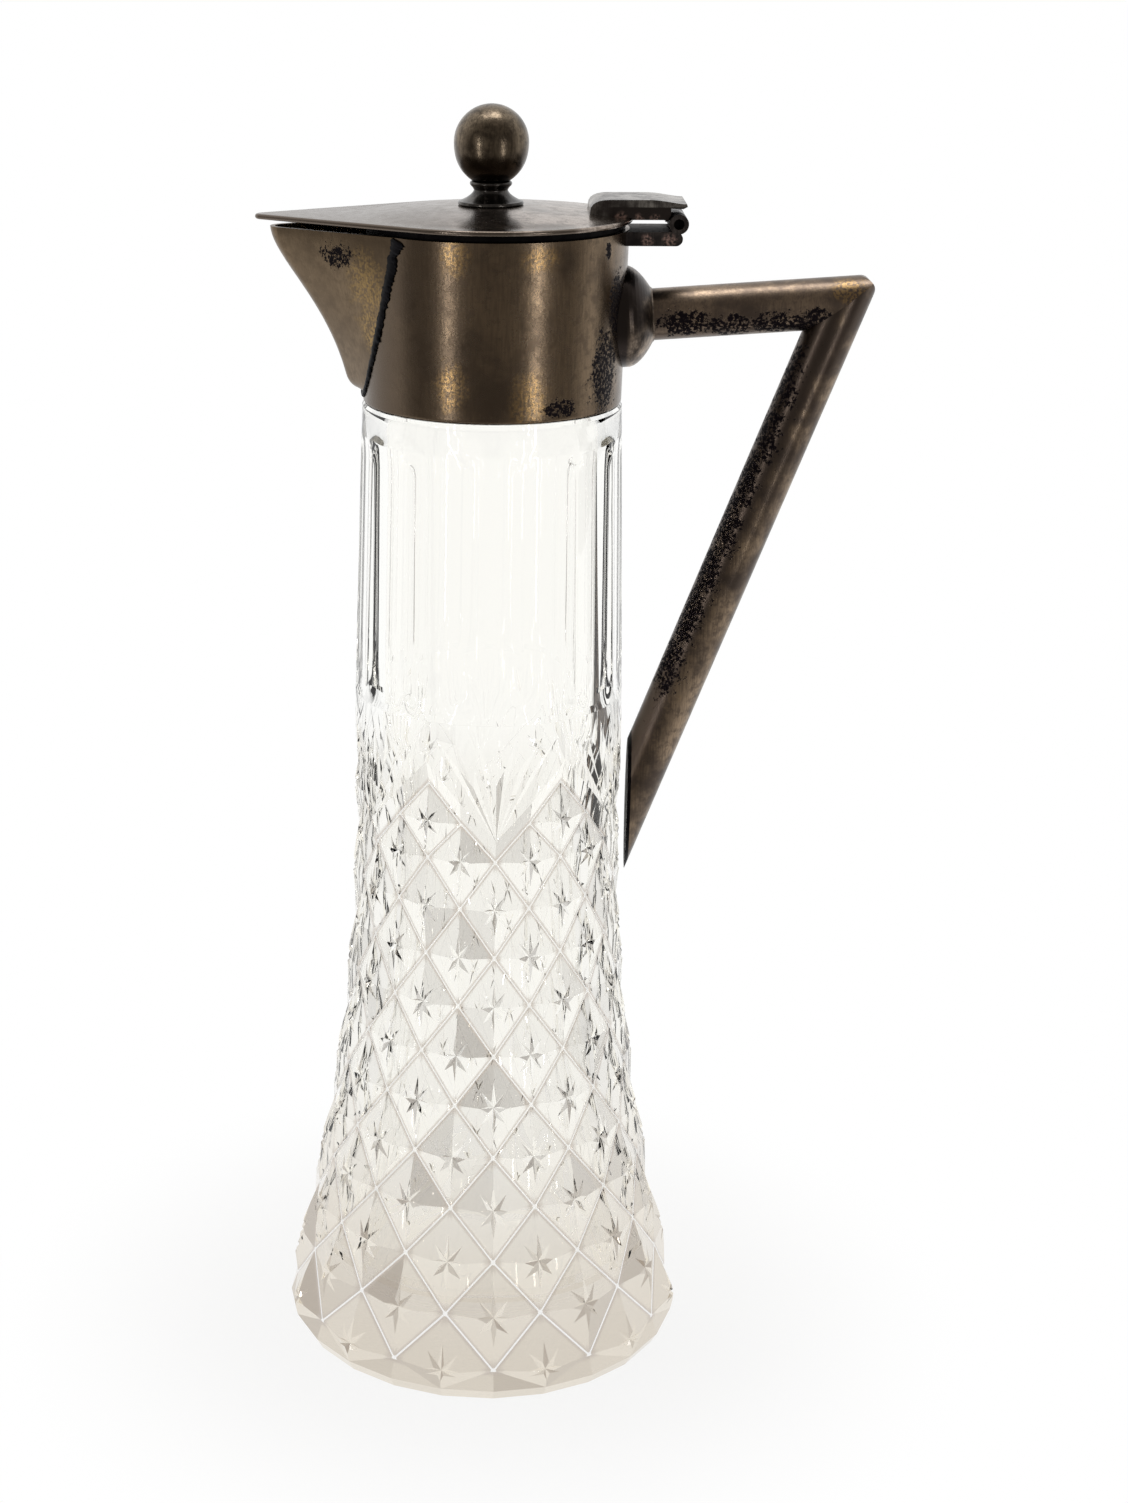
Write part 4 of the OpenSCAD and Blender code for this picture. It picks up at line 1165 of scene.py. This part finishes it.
def glass_material():
    """Clear lead glass with ground cuts. Light that has bounced about inside for
    long goes straight on, as the many small reflections of the real one add up to."""
    mat, tree, shader = material("clear_cut_glass")
    height = parts_of(tree, object_place(tree))["Z"]
    cutting = band(tree, height, CUT_TOP, CUT_START)
    low = band(tree, height, FOOT_TINT_START, FOOT_TINT_FULL)
    # Painted shade and random tone: each facet's tone, darker on those facing up, blends the clear
    # colour towards the darker one
    shade = attribute(tree, "painted_shade_and_tone")
    clear = blend(tree, low, CLEAR_HIGH, CLEAR_LOW)
    shade_and_tone_colour = blend(tree, low, SHADE_AND_TONE_HIGH, SHADE_AND_TONE_LOW)
    colour = blend(tree, shade, clear, shade_and_tone_colour)
    groove = attribute(tree, "groove")
    # Painted shadow: the glass along each side of the grooves darkens to a brown tint
    flank = times(tree, band(tree, groove, FLANK_START, FLANK_FULL), cutting)
    flank = times(tree, flank, FLANK_SHADE)
    colour = blend(tree, flank, colour, FLANK_SHADOW_TINT)
    line = times(tree, band(tree, groove, LINE_START, LINE_FULL), cutting)
    colour = blend(tree, line, colour, LINE_TINT)
    colour = blend(tree, cutting, PLAIN_TINT, colour)
    colour = blend(tree, attribute(tree, "outside"), INSIDE_TINT, colour)
    leaving = times(tree, node(tree, "NewGeometry").outputs["Backfacing"], BACK_CLEAR)
    colour = blend(tree, leaving, colour, LEAVING_TINT)
    path = node(tree, "LightPath")
    inner = maths(tree, "GREATER_THAN", path.outputs["Ray Depth"], TINTED_PATH)
    colour = blend(tree, inner, colour, INNER_TINT)
    link(colour, shader.inputs["Base Color"])
    link(times(tree, line, LINE_ROUGH), shader.inputs["Roughness"])
    set_inputs(shader, {"IOR": GLASS_IOR, "Transmission Weight": 1.0})
    through = node(tree, "BsdfTransparent")
    through.inputs["Color"].default_value = (*STRAIGHT_TINT, 1)
    straight = maths(tree, "GREATER_THAN", path.outputs["Ray Depth"], DEEP_PATH)
    straight = maths(tree, "MAXIMUM", straight, path.outputs["Is Shadow Ray"])
    straight = maths(tree, "MAXIMUM", straight, path.outputs["Is Diffuse Ray"])
    mix_shaders(tree, straight, shader, through)
    return mat


def plaster_material():
    mat, tree, shader = material("cast_plaster")
    lumps = grain(tree, object_place(tree), scale=500, detail=4)
    link(blend(tree, lumps, (0.78, 0.76, 0.70), (0.62, 0.59, 0.52)),
                   shader.inputs["Base Color"])
    shader.inputs["Roughness"].default_value = 0.85
    bump = node(tree, "Bump")
    bump.inputs["Distance"].default_value = 0.0002
    link(lumps, bump.inputs["Height"])
    link(bump.outputs["Normal"], shader.inputs["Normal"])
    return mat


def dress(obj, mat):
    obj.data.materials.clear()
    obj.data.materials.append(mat)


# ------------------------------------------------------------ the studio

CAMERA_PLACE = (0, -0.57845, 0.34871)
CAMERA_DOWN = 18.84
CAMERA_TURN = 2.123
PHOTO_W, PHOTO_H = 1128, 1503
FOCAL_PX = 2500
AXIS_PX = 400


def camera():
    data = bpy.data.cameras.new("camera")
    data.sensor_fit = "VERTICAL"
    data.sensor_height = 24
    data.lens = FOCAL_PX / PHOTO_H * data.sensor_height
    data.shift_x = (PHOTO_W / 2 - AXIS_PX) / PHOTO_H
    data.clip_start = 0.01
    obj = bpy.data.objects.new("camera", data)
    obj.location = CAMERA_PLACE
    obj.rotation_euler = (math.radians(90 - CAMERA_DOWN), 0, math.radians(CAMERA_TURN))
    bpy.context.collection.objects.link(obj)
    bpy.context.scene.camera = obj


def seen_rays(tree):
    """1 for rays that show the background: from the camera, off metal, through glass."""
    path = node(tree, "LightPath")
    seen = maths(tree, "MAXIMUM", path.outputs["Is Camera Ray"], path.outputs["Is Glossy Ray"])
    return maths(tree, "MAXIMUM", seen, path.outputs["Is Transmission Ray"])


FLOOR_WHITE = 0.8
SHADOW_FULL, SHADOW_END = 0.055, 0.13
FLOOR_FORWARD = (0.0, -0.35)
WORLD_FORWARD = (0.25, -0.45)
ROOM = (0.24, 0.225, 0.21)
GLASS_ROOM = (1.0, 0.99, 0.97)


def room_colour(tree, forward, start, end):
    """White behind the jug, and the dimmer room on the camera's side, which shows
    only off metal and through glass."""
    path = node(tree, "LightPath")
    unseen = maths(tree, "SUBTRACT", 1, path.outputs["Is Camera Ray"])
    share = times(tree, band(tree, forward, start, end), unseen)
    room = blend(tree, path.outputs["Is Transmission Ray"], ROOM, GLASS_ROOM)
    return blend(tree, share, (1.0, 1.0, 1.0), room)


def floor():
    """A pale floor that fades to the white of the background away from the jug."""
    deselect_all()
    bpy.ops.mesh.primitive_plane_add(size=6, location=(0, 1.5, 0))
    obj = named("floor")
    settle(obj)
    mat, tree, shader = material("white_table")
    set_inputs(shader, {"Base Color": (0.9, 0.895, 0.885, 1), "Roughness": 0.7})
    glow = node(tree, "Emission")
    place = object_place(tree)
    forward = parts_of(tree, place)["Y"]
    link(room_colour(tree, forward, *FLOOR_FORWARD), glow.inputs["Color"])
    away = node(tree, "VectorMath", operation="LENGTH")
    link(place, away.inputs[0])
    open_floor = band(tree, away.outputs["Value"], SHADOW_FULL, SHADOW_END)
    white = maths(tree, "ADD", times(tree, open_floor, 1 - FLOOR_WHITE), FLOOR_WHITE)
    share = times(tree, white, seen_rays(tree))
    mix_shaders(tree, share, shader, glow)
    dress(obj, mat)


def world():
    scene = bpy.context.scene
    scene.world = bpy.data.worlds.new("studio")
    scene.world.use_nodes = True
    tree = scene.world.node_tree
    back = tree.nodes["Background"]
    back.inputs["Color"].default_value = (0.5, 0.495, 0.485, 1)
    white = node(tree, "Background")
    forward = parts_of(tree, node(tree, "TexCoord").outputs["Generated"])["Y"]
    link(room_colour(tree, forward, *WORLD_FORWARD), white.inputs["Color"])
    mix_shaders(tree, seen_rays(tree), back, white, "World Output")


def lamp(name, place, aim, size, power):
    data = bpy.data.lights.new(name, "AREA")
    data.shape = "RECTANGLE"
    data.size, data.size_y = size
    data.energy = power
    obj = bpy.data.objects.new(name, data)
    obj.location = place
    direction = Vector(aim) - Vector(place)
    obj.rotation_euler = direction.to_track_quat("-Z", "Y").to_euler()
    obj.visible_camera = False
    bpy.context.collection.objects.link(obj)


STRIP_OUT, STRIP_FORWARD, STRIP_Z = 0.37, -0.48, 0.23
STRIP_SIZE = (0.022, 0.42)
STRIP_POWER = 0.42


def lamps():
    """Two upright strips, one at each side of the camera, and a soft light overhead."""
    for name, side in (("left_strip", -1), ("right_strip", 1)):
        place = (side * STRIP_OUT, STRIP_FORWARD, STRIP_Z)
        lamp(name, place, (0, 0, STRIP_Z), STRIP_SIZE, STRIP_POWER)
    lamp("overhead", (0, 0.1, 1.5), aim=(0, 0, 0), size=(0.8, 0.4), power=6)


# ------------------------------------------------------------- the jug

def fit_piece(piece, mat, body, slot, *replaced):
    """Dresses a new piece, sets it on the body that it rides on, and hides the nodes that it takes
    the place of.
    """
    dress(piece, mat)
    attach(piece, body)
    if replaced:
        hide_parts(*replaced)


def main():
    bpy.context.scene.view_settings.view_transform = "Standard"
    deselect_all()
    camera()
    floor()
    world()
    lamps()
    metal = metals()
    fit_piece(glass_body(), glass_material(), "jug", "cut_glass", "glass_body")
    fit_piece(lid_shell(), metal["lid"], "lid", "lid_plate", "lid_plate")
    fit_piece(finial_ball(), metal["ball"], "lid", "lid_plate", "finial_ball")
    fit_piece(finial_spool(), metal["spool"], "lid", "lid_plate", "finial_spool")
    fit_piece(spout_sheet(), metal["spout"], "jug", "tarnished_plate", "spout")
    fit_piece(solder_seam(), metal["solder"], "jug", "dark_metal")
    finishes = {
        "plaster_bed": plaster_material(),
        "collar_band": metal["collar"],
        "handle_boss": metal["boss"],
        "handle_upper_arm": metal["arm"],
        "handle_lower_arm": metal["grip"],
        "handle_end_plate": metal["black"],
        "hinge_collar_leaf": metal["lug"],
        "hinge_pin": metal["black"],
        "hinge_lid_leaf": metal["hinge"],
        "lid_bezel": metal["black"],
        "finial_stud": metal["black"],
        "finial_nut": metal["black"],
    }
    for name, finish in finishes.items():
        dress(NODES[name], finish)


main()
